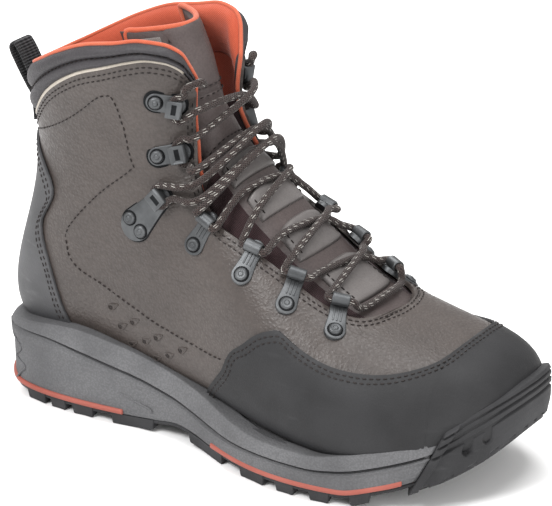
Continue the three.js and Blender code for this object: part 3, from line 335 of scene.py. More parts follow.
def surface(t, v):
    t = np.clip(np.asarray(t, float), 0, END - 1e-6)
    v = np.asarray(v, float)
    t, v = np.broadcast_arrays(t, v)
    v = np.where(v < -1, v + 2, np.where(v > 1, v - 2, v))
    i = np.floor(t).astype(int)
    weights = cubic_weights((t - i)[..., None])
    row = sum(w * CONTROLS[i + k] for k, w in enumerate(weights))
    back_x, low, front_x, high, lateral, medial, ridge, widest, below, above = np.moveaxis(row, -1, 0)
    angle = (1 - np.abs(v)) * np.pi
    lower = angle <= np.pi / 2
    power = 2 / np.where(lower, below, above)
    out = np.abs(np.sin(angle)) ** power
    up = np.abs(np.cos(angle)) ** power
    share = np.where(lower, widest * (1 - up), widest + (1 - widest) * up)
    side = np.where(v < 0, lateral, medial)
    x = back_x + (front_x - back_x) * share
    y = ridge + (side - ridge) * out
    return np.stack([x, y, low + (high - low) * share], -1)


def unit(vectors):
    length = np.linalg.norm(vectors, axis=-1, keepdims=True)
    return vectors / np.maximum(length, 1e-9)


def length_along(points):
    """Distance along a line of points, at each of them."""
    return np.concatenate(([0], np.cumsum(np.linalg.norm(np.diff(points, axis=0), axis=1))))


def run_along(points, closed=False):
    """Direction of a line of points, at each of them."""
    if closed:
        return unit(np.roll(points, -1, 0) - np.roll(points, 1, 0))
    longer = np.vstack([2 * points[0] - points[1], points, 2 * points[-1] - points[-2]])
    return unit(longer[2:] - longer[:-2])


def normal_of(face, a, b):
    a, b = np.asarray(a, float), np.asarray(b, float)
    da = face(a + STEP, b) - face(np.maximum(a - STEP, 0), b)
    db = face(a, b + STEP) - face(a, b - STEP)
    return unit(np.cross(db, da))


def lifted(face, a, b, offset):
    return face(a, b) + normal_of(face, a, b) * np.asarray(offset, float)[..., None]


def on_last(t, v, offset=0.0):
    return lifted(surface, t, v, offset)


def tongue_face(t, share):
    t, share = np.broadcast_arrays(np.asarray(t, float), np.asarray(share, float))
    crown = np.cos(np.minimum(np.abs(share), 1) * np.pi / 2)
    edge_depth = through(TONGUE, "edge", t)
    depth = edge_depth + (through(TONGUE, "middle", t) - edge_depth) * crown**2
    under = on_last(t, share * through(TONGUE, "half", t), -depth)
    part = smooth(t, *TONGUE_BEND)[..., None]
    value = {name: through(TONGUE_TOP, name, t) for name in TONGUE_TOP[0] if name != "at"}
    blend = crown**0.75
    x = along(value["side"] + (value["middle"] - value["side"]) * blend)
    y = (value["ridge"] + share * value["half"]) * COLLAR_WIDTH
    z = height_of(value["sideRise"] + (value["rise"] - value["sideRise"]) * blend)
    return under + (np.stack([x, y, z], -1) - under) * part


def on_tongue(t, share, offset=0.0):
    return lifted(tongue_face, t, share, offset)


# The sole's outline: u is 0 at the tip and grows along the lateral side to HALF_LOOP at the heel
OUTLINE_LOOP = np.array(
    [(along(r["at"]), r["lateral"] * r["width"]) for r in OUTLINE]
    + [(along(r["at"]), r["medial"] * r["width"]) for r in OUTLINE[-2:0:-1]]
)
HALF_LOOP = len(OUTLINE) - 1


def outline_at(u, inset=0.0):
    n = len(OUTLINE_LOOP)

    def at(s):
        s = np.mod(s, n)
        i = np.floor(s).astype(int)
        weights = cubic_weights((s - i)[..., None])
        return sum(w * OUTLINE_LOOP[(i + k - 1) % n] for k, w in enumerate(weights))

    u = np.asarray(u, float)
    run = unit(at(u + 0.01) - at(u - 0.01))
    return at(u) + np.stack([run[..., 1], -run[..., 0]], -1) * np.asarray(inset, float)[..., None]


OUTLINE_U = np.linspace(0, HALF_LOOP, 600)
OUTLINE_X = {side: outline_at(-side * OUTLINE_U)[:, 0] for side in (-1, 1)}


def outline_place(side, x):
    """Place on the outline of one side, lateral -1 or medial 1, at a distance along the boot."""
    return -side * np.interp(-np.asarray(x, float), -OUTLINE_X[side], OUTLINE_U)


def edge_at(side, x, inset=0.0):
    return outline_at(outline_place(side, x), inset)


def base(x):
    return LUG_DEPTH + TOE_SPRING * through(RISE, "value", share_of(x))


def edge(x):
    return height_of(through(EDGE_LEVEL, "value", share_of(x)))


def under(x):
    return base(x) + PLATE + GAP


def side_height(x, part):
    groove = through(GROOVE_SHARE, "value", share_of(x))
    share = np.where(part < 1, part * groove, groove + (part - 1) * (1 - groove))
    return under(x) + share * (edge(x) - under(x))


# Pieces
def finish_piece(name, bm, material, replaced=(), smooth_faces=True):
    """Makes a piece of a mesh that is done, with its finish and its place on the boot's one body."""
    mesh = bpy.data.meshes.new(name)
    bm.to_mesh(mesh)
    bm.free()
    mesh.materials.append(material)
    for face in mesh.polygons:
        face.use_smooth = smooth_faces
    piece = bpy.data.objects.new(name, mesh)
    bpy.context.scene.collection.objects.link(piece)
    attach(piece, "root")
    if replaced:
        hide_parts(*replaced)
    return piece


def curved_grid(bm, columns, rows, place, size=(1.0, 1.0)):
    """A grid bent over a face: place takes arrays u and v from 0 to 1 and a lift, and gives points. size is
    the size of the grid's own map."""
    verts = bmesh.ops.create_grid(bm, x_segments=columns, y_segments=rows, size=1)["verts"]
    flat = np.array([v.co[:2] for v in verts])
    u = np.round((flat[:, 0] + 1) / 2 * columns) / columns
    v = np.round((flat[:, 1] + 1) / 2 * rows) / rows
    points = place(u, v, np.zeros(len(u)))
    layer = bm.loops.layers.uv.verify()
    chart = {vert: (a * size[0], b * size[1]) for vert, a, b in zip(verts, u, v)}
    faces = {face for vert in verts for face in vert.link_faces}
    for face in faces:
        for loop in face.loops:
            loop[layer].uv = chart[loop.vert]
    for vert, point in zip(verts, points):
        vert.co = Vector(point) * MM
    probe = np.array([0.43]), np.array([0.53])  # a place off the seams, where the lift shows the outside
    here = place(*probe, np.zeros(1))[0]
    outward = Vector(place(*probe, np.ones(1))[0] - here)
    nearest = min(faces, key=lambda f: (f.calc_center_median() - Vector(here) * MM).length_squared)
    nearest.normal_update()
    if nearest.normal.dot(outward) < 0:
        bmesh.ops.reverse_faces(bm, faces=list(faces))


def weld(bm, distance=0.02):
    bmesh.ops.remove_doubles(bm, verts=bm.verts, dist=distance * MM)


def close_ends(bm):
    bmesh.ops.holes_fill(bm, edges=[e for e in bm.edges if e.is_boundary], sides=0)


def close_solid(bm, distance=0.02):
    """Welds a bent grid into a closed solid with its faces outwards."""
    weld(bm, distance)
    close_ends(bm)
    bmesh.ops.recalc_face_normals(bm, faces=bm.faces)


def round_edges(piece, width, angle=40):
    rounded = piece.modifiers.new("round", "BEVEL")
    rounded.width = width * MM
    rounded.segments = 2
    rounded.limit_method = "ANGLE"
    rounded.angle_limit = math.radians(angle)
    rounded.harden_normals = False


def wall(piece, thickness, bevel=0.0):
    """Gives an outer face its wall, inwards, and rounds the wall's edges."""
    solidify = piece.modifiers.new("wall", "SOLIDIFY")
    solidify.thickness = thickness * MM
    solidify.offset = -1
    solidify.use_even_offset = False
    if bevel:
        round_edges(piece, bevel)


def prism(bm, corners, moved):
    """A closed solid between a ring of corners, in metres, and the places that moved gives for them. Gives
    the moved corners and all faces."""
    made = bmesh.ops.create_circle(bm, cap_ends=True, segments=len(corners), radius=1)["verts"]
    order = sorted(made, key=lambda v: math.atan2(v.co.y, v.co.x) % (2 * math.pi))
    for vert, corner in zip(order, corners):
        vert.co = corner
    raised = bmesh.ops.extrude_face_region(bm, geom=[order[0].link_faces[0]])["geom"]
    far = [g for g in raised if isinstance(g, bmesh.types.BMVert)]
    for vert in far:
        vert.co = moved(vert.co)
    whole = list({f for v in [*far, *order] for f in v.link_faces})
    bmesh.ops.recalc_face_normals(bm, faces=whole)
    return far, whole


def soften(bm, edges, width, segments=2, clamp=False):
    bmesh.ops.bevel(
        bm, geom=list(edges), offset=width * MM, segments=segments, profile=0.5, affect="EDGES", material=-1,
        clamp_overlap=clamp,
    )


def tube(bm, points, radius, sides=10, closed=False):
    """A round tube through points. Its own map counts millimetres along it."""
    points = np.asarray(points, float)
    count = len(points)
    run = run_along(points, closed)
    reference = np.array([0.0, 0.0, 1.0]) if abs(run[0][2]) < 0.9 else np.array([1.0, 0.0, 0.0])
    sideways = np.zeros_like(points)
    sideways[0] = unit(np.cross(run[0], reference))
    for i in range(1, count):
        sideways[i] = unit(sideways[i - 1] - run[i] * np.dot(sideways[i - 1], run[i]))
    lift = np.cross(sideways, run)
    rows = count if closed else count - 1

    def place(u, v, offset):
        i = np.round(v * rows).astype(int) % count
        angle = (u * 2 * np.pi)[:, None]
        flank = sideways[i] * np.cos(angle) + lift[i] * np.sin(angle)
        return points[i] + (radius + offset)[:, None] * flank

    curved_grid(bm, sides, rows, place, (2 * np.pi * radius, float(length_along(points)[-1])))


def cord_piece(name, tubes, material, replaced=()):
    """A piece of round tubes with closed ends, each given as its points, its radius and its sides."""
    bm = bmesh.new()
    for points, radius, sides in tubes:
        tube(bm, points, radius, sides)
    weld(bm)
    close_ends(bm)
    finish_piece(name, bm, material, replaced)


CURVE_STEPS = 24


def smooth_path(points, spacing):
    """Points at an even spacing on a smooth curve through a few points."""
    points = np.asarray(points, float)
    padded = np.vstack([2 * points[0] - points[1], points, 2 * points[-1] - points[-2]])
    s = np.linspace(0, 1, CURVE_STEPS, endpoint=False)[:, None]
    curve = []
    for a, b, c, d in zip(padded, padded[1:], padded[2:], padded[3:]):
        bend = (2 * a - 5 * b + 4 * c - d) * s**2 + (3 * b - a - 3 * c + d) * s**3
        curve.append(0.5 * (2 * b + (c - a) * s + bend))
    curve = np.vstack([*curve, points[-1:]])
    length = length_along(curve)
    at = np.linspace(0, length[-1], max(int(round(length[-1] / spacing)), 1) + 1)
    return np.stack([np.interp(at, length, curve[:, k]) for k in range(points.shape[1])], -1)


# Finishes
class Value:
    """A number that comes out of a node, for sums written as plain expressions."""

    def __init__(self, finish, socket):
        self.finish = finish
        self.socket = socket

    def math(self, operation, *values):
        return self.finish.node("ShaderNodeMath", {"operation": operation}, values)

    def __add__(self, other):
        return self.math("ADD", self, other)

    def __mul__(self, other):
        return self.math("MULTIPLY", self, other)

    def __sub__(self, other):
        return self.math("SUBTRACT", self, other)

    def __rsub__(self, other):
        return self.math("SUBTRACT", other, self)

    __radd__ = __add__
    __rmul__ = __mul__

    def ramp(self, low, high):
        """0 below low, 1 above high and smooth between them."""
        values = {"Value": self, "From Min": low, "From Max": high}
        return self.finish.node("ShaderNodeMapRange", {"interpolation_type": "SMOOTHSTEP"}, values)

    def wave(self, length):
        """From -1 to 1, once in a length."""
        return self.math("SINE", self * (2 * math.pi / length))


class Finish:
    """A material on the shader of a whole surface."""

    def __init__(self, name, roughness=0.6, metallic=0.0, **settings):
        self.material = bpy.data.materials.new(name)
        self.material.use_nodes = True
        self.nodes = self.material.node_tree.nodes
        self.links = self.material.node_tree.links
        self.shader = next(n for n in self.nodes if n.type == "BSDF_PRINCIPLED")
        self.shader.inputs["Roughness"].default_value = roughness
        self.shader.inputs["Metallic"].default_value = metallic
        for socket, value in settings.items():
            self.shader.inputs[socket.replace("_", " ")].default_value = value
        self.place = self.node("ShaderNodeTexCoord", {}, (), "Object")

    def feed(self, socket, value):
        if isinstance(value, Value):
            self.links.new(value.socket, socket)
        elif hasattr(value, "__len__") and len(value) == 3 and socket.type == "RGBA":
            socket.default_value = (*value, 1)
        else:
            socket.default_value = value

    def node(self, kind, settings, values, output=0):
        """One node of a type, with its settings and the values or links of its sockets."""
        made = self.nodes.new(kind)
        for name, value in settings.items():
            setattr(made, name, value)
        pairs = values.items() if isinstance(values, dict) else enumerate(values)
        for key, value in pairs:
            self.feed(made.inputs[key], value)
        return Value(self, made.outputs[output])

    def part(self, index, source=None):
        """One of the three numbers of a place."""
        return self.node("ShaderNodeSeparateXYZ", {}, [source or self.place], index)

    def map_parts(self):
        """Places across and along the piece's own map."""
        chart = self.node("ShaderNodeTexCoord", {}, (), "UV")
        return self.part(0, chart), self.part(1, chart)

    def stretched(self, scale):
        return self.node("ShaderNodeMapping", {}, {"Vector": self.place, "Scale": scale})

    def noise(self, size, detail=3, source=None):
        """Soft blotches of about a size, in metres."""
        values = {"Vector": source or self.place, "Scale": 1 / size, "Detail": detail, "Roughness": 0.55}
        return self.node("ShaderNodeTexNoise", {}, values)

    def cells(self, size, feature="F1"):
        values = {"Vector": self.place, "Scale": 1 / size}
        return self.node("ShaderNodeTexVoronoi", {"feature": feature}, values)

    def mix(self, factor, a, b):
        return self.node("ShaderNodeMix", {"data_type": "RGBA"}, {0: factor, 6: a, 7: b}, 2)

    def done(self, color, roughness, height=None, depth=0.2):
        """Links what varies. Height is relief of a depth in millimetres."""
        self.feed(self.shader.inputs["Base Color"], color)
        if roughness is not None:
            self.feed(self.shader.inputs["Roughness"], roughness)
        if height is not None:
            values = {"Height": height, "Distance": depth * MM, "Strength": 1.0}
            self.feed(self.shader.inputs["Normal"], self.node("ShaderNodeBump", {}, values))
        return self.material


UNDER_LIGHT = 0.62  # how much darker a surface is than it looks under the studio's light
DISPLAY_GAMMA = 2.2


def color_of(r, g, b):
    """Linear colour of a surface that looks r, g, b out of 255 under the studio's light."""
    return tuple(UNDER_LIGHT * (c / 255) ** DISPLAY_GAMMA for c in (r, g, b))


def shades(dark, light):
    return color_of(*dark), color_of(*light)


def darker(color, share):
    return tuple(c * share for c in color)


def leather_finish(name, dark, light, pebble=0.0013, relief=0.22, roughness=0.56):
    f = Finish(name, Specular_IOR_Level=0.42)
    dark, light = shades(dark, light)
    broad = f.noise(0.055, 2)
    fine = f.noise(0.004, 4)
    grain = f.cells(pebble, "SMOOTH_F1")
    pores = f.cells(pebble * 0.45)
    creases = f.noise(0.009, 5, f.stretched((1, 1, 2.2)))
    shade = broad * 0.55 + fine * 0.2 + creases * 0.25
    tone = f.mix(shade.ramp(0.25, 0.75), dark, light)
    # Darker in the hollows of the pebble grain
    mottled = f.mix(grain.ramp(0.2, 0.8) * 0.3, tone, darker(dark, 0.7))
    height = grain * -0.9 + pores * -0.25 + creases * 0.8
    gloss = roughness - 0.14 * (1 - grain).ramp(0.35, 0.9) + fine * 0.08
    return f.done(mottled, gloss, height, relief)


def rubber_finish(name, dark, light, grain=0.0008, relief=0.12, roughness=0.62, scuffs=0.25):
    f = Finish(name, Specular_IOR_Level=0.38)
    dark, light = shades(dark, light)
    broad = f.noise(0.04, 3)
    fine = f.noise(grain, 2)
    rub = f.noise(0.012, 6, f.stretched((0.5, 1, 2.4))).ramp(0.58, 0.78)
    tone = f.mix(broad.ramp(0.3, 0.7), dark, light)
    scuffed = f.mix(rub * scuffs, tone, tuple(min(c * 2.1 + 0.02, 1) for c in light))
    return f.done(scuffed, roughness + fine * 0.14 - rub * 0.06, fine + rub * 0.4, relief)


def foam_finish(name, dark, light):
    f = Finish(name, roughness=0.8, Specular_IOR_Level=0.25)
    dark, light = shades(dark, light)
    speck = f.cells(0.0011)
    fine = f.noise(0.0009, 3)
    broad = f.noise(0.05, 3)
    stain = f.noise(0.02, 5, f.stretched((0.6, 1, 2.6))).ramp(0.55, 0.8)
    tone = f.mix(broad.ramp(0.3, 0.7), dark, light)
    spotted = f.mix(speck.ramp(0.25, 0.7) * 0.35, tone, darker(dark, 0.72))
    stained = f.mix(stain * 0.22, spotted, darker(dark, 0.55))
    return f.done(stained, 0.74 + fine * 0.14, speck * -1 + fine * 0.8, 0.22)


def cloth_finish(name, dark, light, thread=0.0009, relief=0.25):
    f = Finish(name, Sheen_Weight=0.15, Specular_IOR_Level=0.2)
    x, y, z = (f.part(k) for k in range(3))
    warp = (x + y * 0.8).wave(thread)
    weft = (z + y * 0.35).wave(thread)
    weave = warp * weft
    fuzz = f.noise(0.0012, 3)
    broad = f.noise(0.03, 3)
    shade = (weave * 0.5 + 0.5) * 0.35 + fuzz * 0.3 + broad * 0.35
    tone = f.mix(shade.ramp(0.25, 0.75), *shades(dark, light))
    return f.done(tone, 0.86 + fuzz * 0.1, weave * 0.6 + fuzz, relief)


def lace_finish(name):
    """Round braid: crossing strands, with pairs of pale flecks."""
    f = Finish(name, Sheen_Weight=0.1, Specular_IOR_Level=0.25)
    across, run = f.map_parts()
    one = (run + across * 0.9).wave(1.5)
    other = (run - across * 0.9).wave(1.5)
    braid = one.math("MAXIMUM", one, other)
    fleck_row = (run + across * 0.5).wave(5.2).ramp(0.0, 0.3)
    twin = (across + run * 0.22).wave(1.3).ramp(0.45, 0.8)
    side = (across - run * 0.12).wave(6.0).ramp(0.0, 0.3)
    fleck = fleck_row * twin * side
    fuzz = f.noise(0.0007, 2)
    tone = f.mix(braid.ramp(-0.6, 0.9), *shades((26, 20, 20), (70, 57, 54)))
    fuzzy = f.mix(fuzz.ramp(0.4, 0.8) * 0.3, tone, color_of(110, 98, 92))
    flecked = f.mix(fleck * 0.92, fuzzy, color_of(226, 222, 214))
    return f.done(flecked, 0.78 + fuzz * 0.1, braid + fuzz * 0.3, 0.35)


def webbing_finish(name):
    f = Finish(name, Sheen_Weight=0.12, Specular_IOR_Level=0.25)
    across, run = f.map_parts()
    ribs = run.wave(1.5)
    threads = across.wave(1.1)
    fuzz = f.noise(0.0008, 3)
    shade = (ribs * 0.5 + 0.5) * 0.6 + fuzz * 0.4
    tone = f.mix(shade.ramp(0.2, 0.9), *shades((16, 16, 18), (58, 58, 62)))
    return f.done(tone, 0.8 + fuzz * 0.1, ribs + threads * 0.4 + fuzz * 0.4, 0.4)


def metal_finish(name, dark, light, roughness=0.34):
    f = Finish(name, metallic=0.85, roughness=roughness)
    broad = f.noise(0.012, 4)
    fine = f.noise(0.0006, 3, f.stretched((1, 1, 3)))
    mottled = broad.ramp(0.3, 0.8) * 0.6
    tone = f.mix(mottled, *shades(dark, light))
    return f.done(tone, roughness + broad * 0.22 - mottled * 0.05 + fine * 0.08, fine + broad * 0.5, 0.05)


def thread_finish(name, dark, light):
    f = Finish(name, roughness=0.75, Specular_IOR_Level=0.3)
    fuzz = f.noise(0.0005, 2)
    return f.done(f.mix(fuzz, *shades(dark, light)), None, fuzz, 0.08)


def floor_finish(name):
    f = Finish(name, roughness=0.85, Specular_IOR_Level=0.2)
    broad = f.noise(0.6, 3)
    return f.done(f.mix(broad, (0.9, 0.9, 0.9), (0.93, 0.93, 0.93)), 0.82 + broad * 0.06)


LEATHER_FINISH = leather_finish("leather", (71, 64, 61), (92, 84, 80), 0.0014, 0.3, 0.46)
LEATHER_EDGE = leather_finish("leather_edge", (190, 180, 166), (222, 212, 198), 0.0009)
TONGUE_FINISH = leather_finish("tongue_leather", (74, 64, 63), (97, 86, 84), 0.0009, 0.12)
PANEL_FINISH = leather_finish("tongue_panel", (106, 101, 100), (128, 123, 121), 0.0008, 0.07, 0.4)
GUSSET_FINISH = cloth_finish("gusset_cloth", (118, 112, 110), (150, 144, 140), 0.0012)
# Dark brown cloth: painted shadow between the tongue and the leather beside it
PAINTED_SHADOW_FINISH = cloth_finish("painted_shadow_cloth", (46, 32, 34), (70, 50, 52), 0.0012)
CUFF_FINISH = leather_finish("cuff_padding", (55, 52, 55), (76, 73, 76), 0.001, 0.14, 0.62)
LINING_FINISH = cloth_finish("lining_cloth", (188, 80, 55), (219, 104, 76), 0.0011, 0.2)
PIPING_FINISH = cloth_finish("piping", (206, 94, 66), (236, 128, 97), 0.001, 0.15)
RAND_FINISH = rubber_finish("rand_rubber", (33, 33, 35), (47, 47, 49), 0.0009, 0.14, 0.56, 0.12)
COUNTER_FINISH = rubber_finish("counter", (72, 72, 74), (92, 92, 94), 0.0009, 0.12, 0.55, 0.15)
FOAM_FINISH = foam_finish("foam", (102, 102, 104), (126, 126, 128))
LAYER_FINISH = rubber_finish("bright_layer", (166, 86, 73), (187, 104, 91), 0.001, 0.12, 0.6, 0.05)
SOLE_FINISH = rubber_finish("outsole_rubber", (44, 44, 46), (61, 61, 63), 0.0011, 0.16, 0.66, 0.2)
WEBBING_FINISH = webbing_finish("webbing")
METAL_FINISH = metal_finish("lace_metal", (92, 94, 96), (136, 138, 140))
DARK_METAL = metal_finish("lace_metal_dark", (30, 31, 33), (56, 58, 60), 0.45)
LACE_FINISH = lace_finish("lace_cord")
# Dark thread of the stitches, also used as painted shade inside the vent holes
DARK_THREAD_AND_HOLE_SHADE = thread_finish("dark_thread_and_hole_shade", (34, 30, 30), (62, 55, 53))
INSOLE_FINISH = cloth_finish("insole_cloth", (60, 60, 62), (88, 88, 90))


# Leather shell and what lies on it
SIDES = {"lateral": -1, "medial": 1}
PROBES = np.linspace(0, 1, 61)
RAND_END = 7.95
DRAWN_IN = 2.4  # how far leather and rand draw in above the toe's sole


def last_below(line, share, drop=0.0, low=10.6):
    """Section at which each place across reaches a line drawn on the side view: share gives v for
    sections, one row for each place."""
    t = np.linspace(low, END - 0.01, 500)
    v = share(t)
    points = surface(np.broadcast_to(t, v.shape), v)
    over = points[..., 2] - height_of(through(line, "level", share_of(points[..., 0]))) + drop
    below = over < 0
    index = np.where(below.any(1), below.shape[1] - 1 - np.argmax(below[:, ::-1], 1), 0)
    index = np.minimum(index, len(t) - 2)
    rows = np.arange(len(index))
    a, b = over[rows, index], over[rows, index + 1]
    part = np.clip(np.where(b != a, -a / np.where(b != a, b - a, 1), 0), 0, 1)
    return t[index] + part * (t[1] - t[0])


def throat_share(side, across, t):
    """v at a share of the way from the throat's edge down to the underside or the back."""
    half = through(THROAT, "half", t)
    return side * (half + (1 - half) * across)


def top_table(line, side, drop=0.0):
    return last_below(line, lambda t: throat_share(side, PROBES[:, None], t[None]), drop)


LEATHER_END = {side: top_table(LEATHER_TOP, side) for side in (-1, 1)}
CUFF_END = {side: top_table(CUFF_TOP, side) for side in (-1, 1)}
CUFF_FOOT = {side: top_table(LEATHER_TOP, side, CUFF_LAP) for side in (-1, 1)}

# Lines on the leather, as places of section and share across; below 0 is lateral
QUARTER_LINE = [
    (15.5, 0.84), (15.43, 0.644), (15.52, 0.559), (15.7, 0.504), (15.52, 0.484), (14.53, 0.459),
    (12.55, 0.393), (12.23, 0.393), (12.41, 0.479), (12.23, 0.549), (12.01, 0.549), (11.56, 0.554),
    (11.15, 0.549), (10.43, 0.539), (9.71, 0.539), (8.9, 0.539), (8.31, 0.529), (7.18, 0.499),
]
VENTS = [
    (9.93, 0.574), (9.57, 0.614), (9.35, 0.579), (9.26, 0.659), (8.99, 0.619), (8.76, 0.579),
    (8.72, 0.669), (8.45, 0.619), (8.18, 0.564),
]


QUARTER_SCALE = 12  # sections that count as long as the way once across


def quarter_line(side):
    """Dense places of section and share along the quarter's line on one side."""
    path = smooth_path([(t, side * v * QUARTER_SCALE) for t, v in QUARTER_LINE], 0.02 * QUARTER_SCALE)
    return path[:, 0], path[:, 1] / QUARTER_SCALE


def groove_near(points, line, width, depth):
    """Dent beside a line of points."""
    gap = np.full(len(points), 1e9)
    for place in line:
        gap = np.minimum(gap, ((points - place) ** 2).sum(1))
    return -depth * np.exp(-gap / width**2)


# Soft dents and bulges: section, share across, how far they reach along and across, and height
DENTS = [
    (12.6, 0.5, 1.6, 0.09, 0.9), (10.6, 0.52, 0.7, 0.07, -0.8), (9.6, 0.47, 0.5, 0.06, 0.8),
    (8.3, 0.56, 1.3, 0.08, 0.7), (13.8, 0.72, 1.2, 0.12, -0.5), (6.2, 0.42, 0.9, 0.06, 0.5),
    (11.3, 0.44, 0.45, 0.08, -0.5),
]


def mound(t, a, at, across, long, wide):
    return np.exp(-(((t - at) / long) ** 2) - ((a - across) / wide) ** 2)


def leather_relief(t, v, points, side):
    """Soft dents and folds of the leather."""
    a = np.abs(v)
    relief = sum(row[4] * mound(t, a, *row[:4]) for row in DENTS)
    fold = np.sin((t * 2.1 + a * 9.0) * 2.2 + (0.7 if side < 0 else 2.0))
    relief += 0.28 * fold * mound(t, a, 10.2, 0.42, 1.5, 0.16)
    across_toe = np.sin(t * 11.0 + 0.6 * np.sin(a * 14))
    relief += 0.22 * across_toe * mound(t, a, 5.1, 0.28, 0.7, 0.12)
    relief -= DRAWN_IN * smooth(a, 0.62, 0.82) * (1 - smooth(t, 7.4, 8.6))
    line_t, line_v = quarter_line(side)
    relief += groove_near(points, surface(line_t[::3], line_v[::3]), 1.6, 0.45)
    return relief


def leather_face(t, v):
    """The leather's outer face with its dents."""
    t, v = np.broadcast_arrays(np.asarray(t, float), np.asarray(v, float))
    points = surface(t, v)
    relief = np.where(v < 0, leather_relief(t, v, points, -1), leather_relief(t, v, points, 1))
    return on_last(t, v, relief)


def side_place(side, half_rows, start, end, bottom=1.0, outer=0.0, relief=None):
    """A panel of one side between a line of halves and a share of the way down."""

    def place(u, v, offset):
        last = np.interp(u, PROBES, end) if hasattr(end, "__len__") else end
        t = start + v * (last - start)
        half = through(half_rows, "half", t)
        share = side * (half + (bottom - half) * u)
        extra = relief(t, share, surface(t, share), side) if relief else 0.0
        return on_last(t, share, outer + extra + offset)

    return place


def make_sides(name, columns, rows, place_of, material, thickness, replaced=(), bevel=0.0):
    """A skin over both sides of the boot, in one piece."""
    bm = bmesh.new()
    for side in SIDES.values():
        curved_grid(bm, columns, rows, place_of(side))
    weld(bm)
    wall(finish_piece(name, bm, material, replaced), thickness, bevel)


def leather_place(side):
    return side_place(side, THROAT, 0.0, LEATHER_END[side], relief=leather_relief)


def lining_place(side):
    return side_place(side, THROAT, 9.0, LEATHER_END[side] - 0.3, outer=-(LEATHER + 2 * GAP))


def rand_relief(t, v, points, side):
    """The rand draws in above the sole and has a low ridge along its upper edge."""
    a = np.abs(v)
    drawn = -DRAWN_IN * smooth(a, 0.62, 0.82) * (1 - smooth(t, 7.0, 8.2))
    return drawn + 0.25 * np.sin(t * 2.3 + a * 7) * smooth(a, 0.4, 0.6)


def rand_place(side):
    return side_place(side, RAND_TOP, 0.0, RAND_END, 0.93, OVERLAY + GAP, rand_relief)


COUNTER_BY_LEVEL = sorted(COUNTER_EDGE, key=lambda row: row["level"])
COUNTER_LOW = 10.4


def level_of(z):
    z = np.asarray(z, float)
    low = (z - TREAD) / MIDSOLE_HEEL
    middle = 1 + (z - SEAT) / (INSTEP_HEIGHT - SEAT)
    high = 2 + (z - INSTEP_HEIGHT) / (SHAFT_HEIGHT - INSTEP_HEIGHT)
    return np.where(z < SEAT, low, np.where(z < INSTEP_HEIGHT, middle, high))


def counter_shares(t, side):
    """Share across at which the counter's front edge lies in each section."""
    v = np.linspace(0.4, 1, 400)
    points = surface(t[:, None], side * v[None])
    ahead = points[..., 0] > along(through(COUNTER_BY_LEVEL, "at", level_of(points[..., 2]), "level"))
    index = np.where(ahead.any(1), ahead.shape[1] - 1 - np.argmax(ahead[:, ::-1], 1), 0)
    return v[index]


def counter_top():
    t = np.linspace(13, 17, 300)
    z = surface(t, np.ones(300))[:, 2]
    return float(np.interp(height_of(COUNTER_EDGE[0]["level"]), z, t))


COUNTER_END = counter_top()
COUNTER_SECTIONS = np.linspace(COUNTER_LOW, COUNTER_END, 120)
COUNTER_SHARES = {side: counter_shares(COUNTER_SECTIONS, side) for side in (-1, 1)}


def counter_place(side):
    def place(u, v, offset):
        t = COUNTER_LOW + v * (COUNTER_END - COUNTER_LOW)
        front = np.interp(t, COUNTER_SECTIONS, COUNTER_SHARES[side])
        return on_last(t, side * (front + (1 - front) * u), OVERLAY + GAP + offset)

    return place


def collar_section(u, ends, side_of):
    return np.where(side_of < 0, np.interp(u, PROBES, ends[-1]), np.interp(u, PROBES, ends[1]))


def collar_place(w):
    """Side and share across for a place round the collar: 0 at the lateral edge of the throat, a half at
    the back and 1 at the medial edge."""
    side = np.where(w < 0.5, -1, 1)
    return side, 1 - np.abs(2 * w - 1)


def collar_point(w, ends, offset, rise=0.0):
    side, across = collar_place(np.asarray(w, float))
    t = collar_section(across, ends, side)
    point = on_last(t, throat_share(side, across, t), offset)
    point[..., 2] += rise
    return point


# The padded collar's outline from its foot outside, over the top and down inside: part of the way from
# the leather's edge to the top, or down to the foot inside, and how deep it lies
CUFF_PROFILE = table("part depth", [
    (-0.12, -2.3), (0.02, -2.1), (0.07, -0.6), (0.16, 1.3), (0.28, 2.2), (0.4, 1.7), (0.48, 0.2),
    (0.5, -0.7), (0.53, 0.2), (0.62, 1.8), (0.76, 2.0), (0.9, 0.7), (1.0, -1.8), (1.01, -3.2), (0.99, -4.4),
    (0.9, -6.4), (0.7, -8.3), (0.4, -8.8), (0.0, -8.6), (-0.5, -7.2), (-1.0, -4.2), (-1.0, -2.9),
    (-0.5, -2.7), (-0.12, -2.6),
])
CUFF_COUNT = len(CUFF_PROFILE)
CUFF_INSIDE = 13.2  # row of the profile from which the collar shows its lining
CUFF_MIDDLE = -3.0


def cuff_place(u, v, offset):
    at = np.mod(v * CUFF_COUNT, CUFF_COUNT)
    i = np.floor(at).astype(int)
    weights = cubic_weights(at - i)
    rows = np.array([(r["part"], r["depth"]) for r in CUFF_PROFILE])
    part, depth = sum(w[:, None] * rows[(i + k - 1) % CUFF_COUNT] for k, w in enumerate(weights)).T
    side, across = collar_place(u)
    leather, top, foot = (collar_section(across, ends, side) for ends in (LEATHER_END, CUFF_END, CUFF_FOOT))
    t = np.where(part > 0, leather + (top - leather) * part, leather + (leather - foot) * part)
    front = smooth(np.minimum(u, 1 - u), 0.0, 0.035)
    lift = CUFF_MIDDLE + (depth - CUFF_MIDDLE) * (0.35 + 0.65 * front)
    return on_last(t, throat_share(side, across, t), lift + offset)


def two_cloths(piece, other, is_other):
    """Gives the faces whose place on the piece's own map passes a test the other cloth."""
    piece.data.materials.append(other)
    chart = piece.data.uv_layers.active.data
    for face in piece.data.polygons:
        u, v = np.mean([chart[i].uv[:] for i in face.loop_indices], 0)
        if is_other(u, v):
            face.material_index = 1


def make_cuff():
    bm = bmesh.new()
    curved_grid(bm, 110, CUFF_COUNT * 2, cuff_place)
    close_solid(bm)
    piece = finish_piece("cuff_pad", bm, CUFF_FINISH, ["cuff"])
    two_cloths(piece, LINING_FINISH, lambda u, v: v * CUFF_COUNT > CUFF_INSIDE)


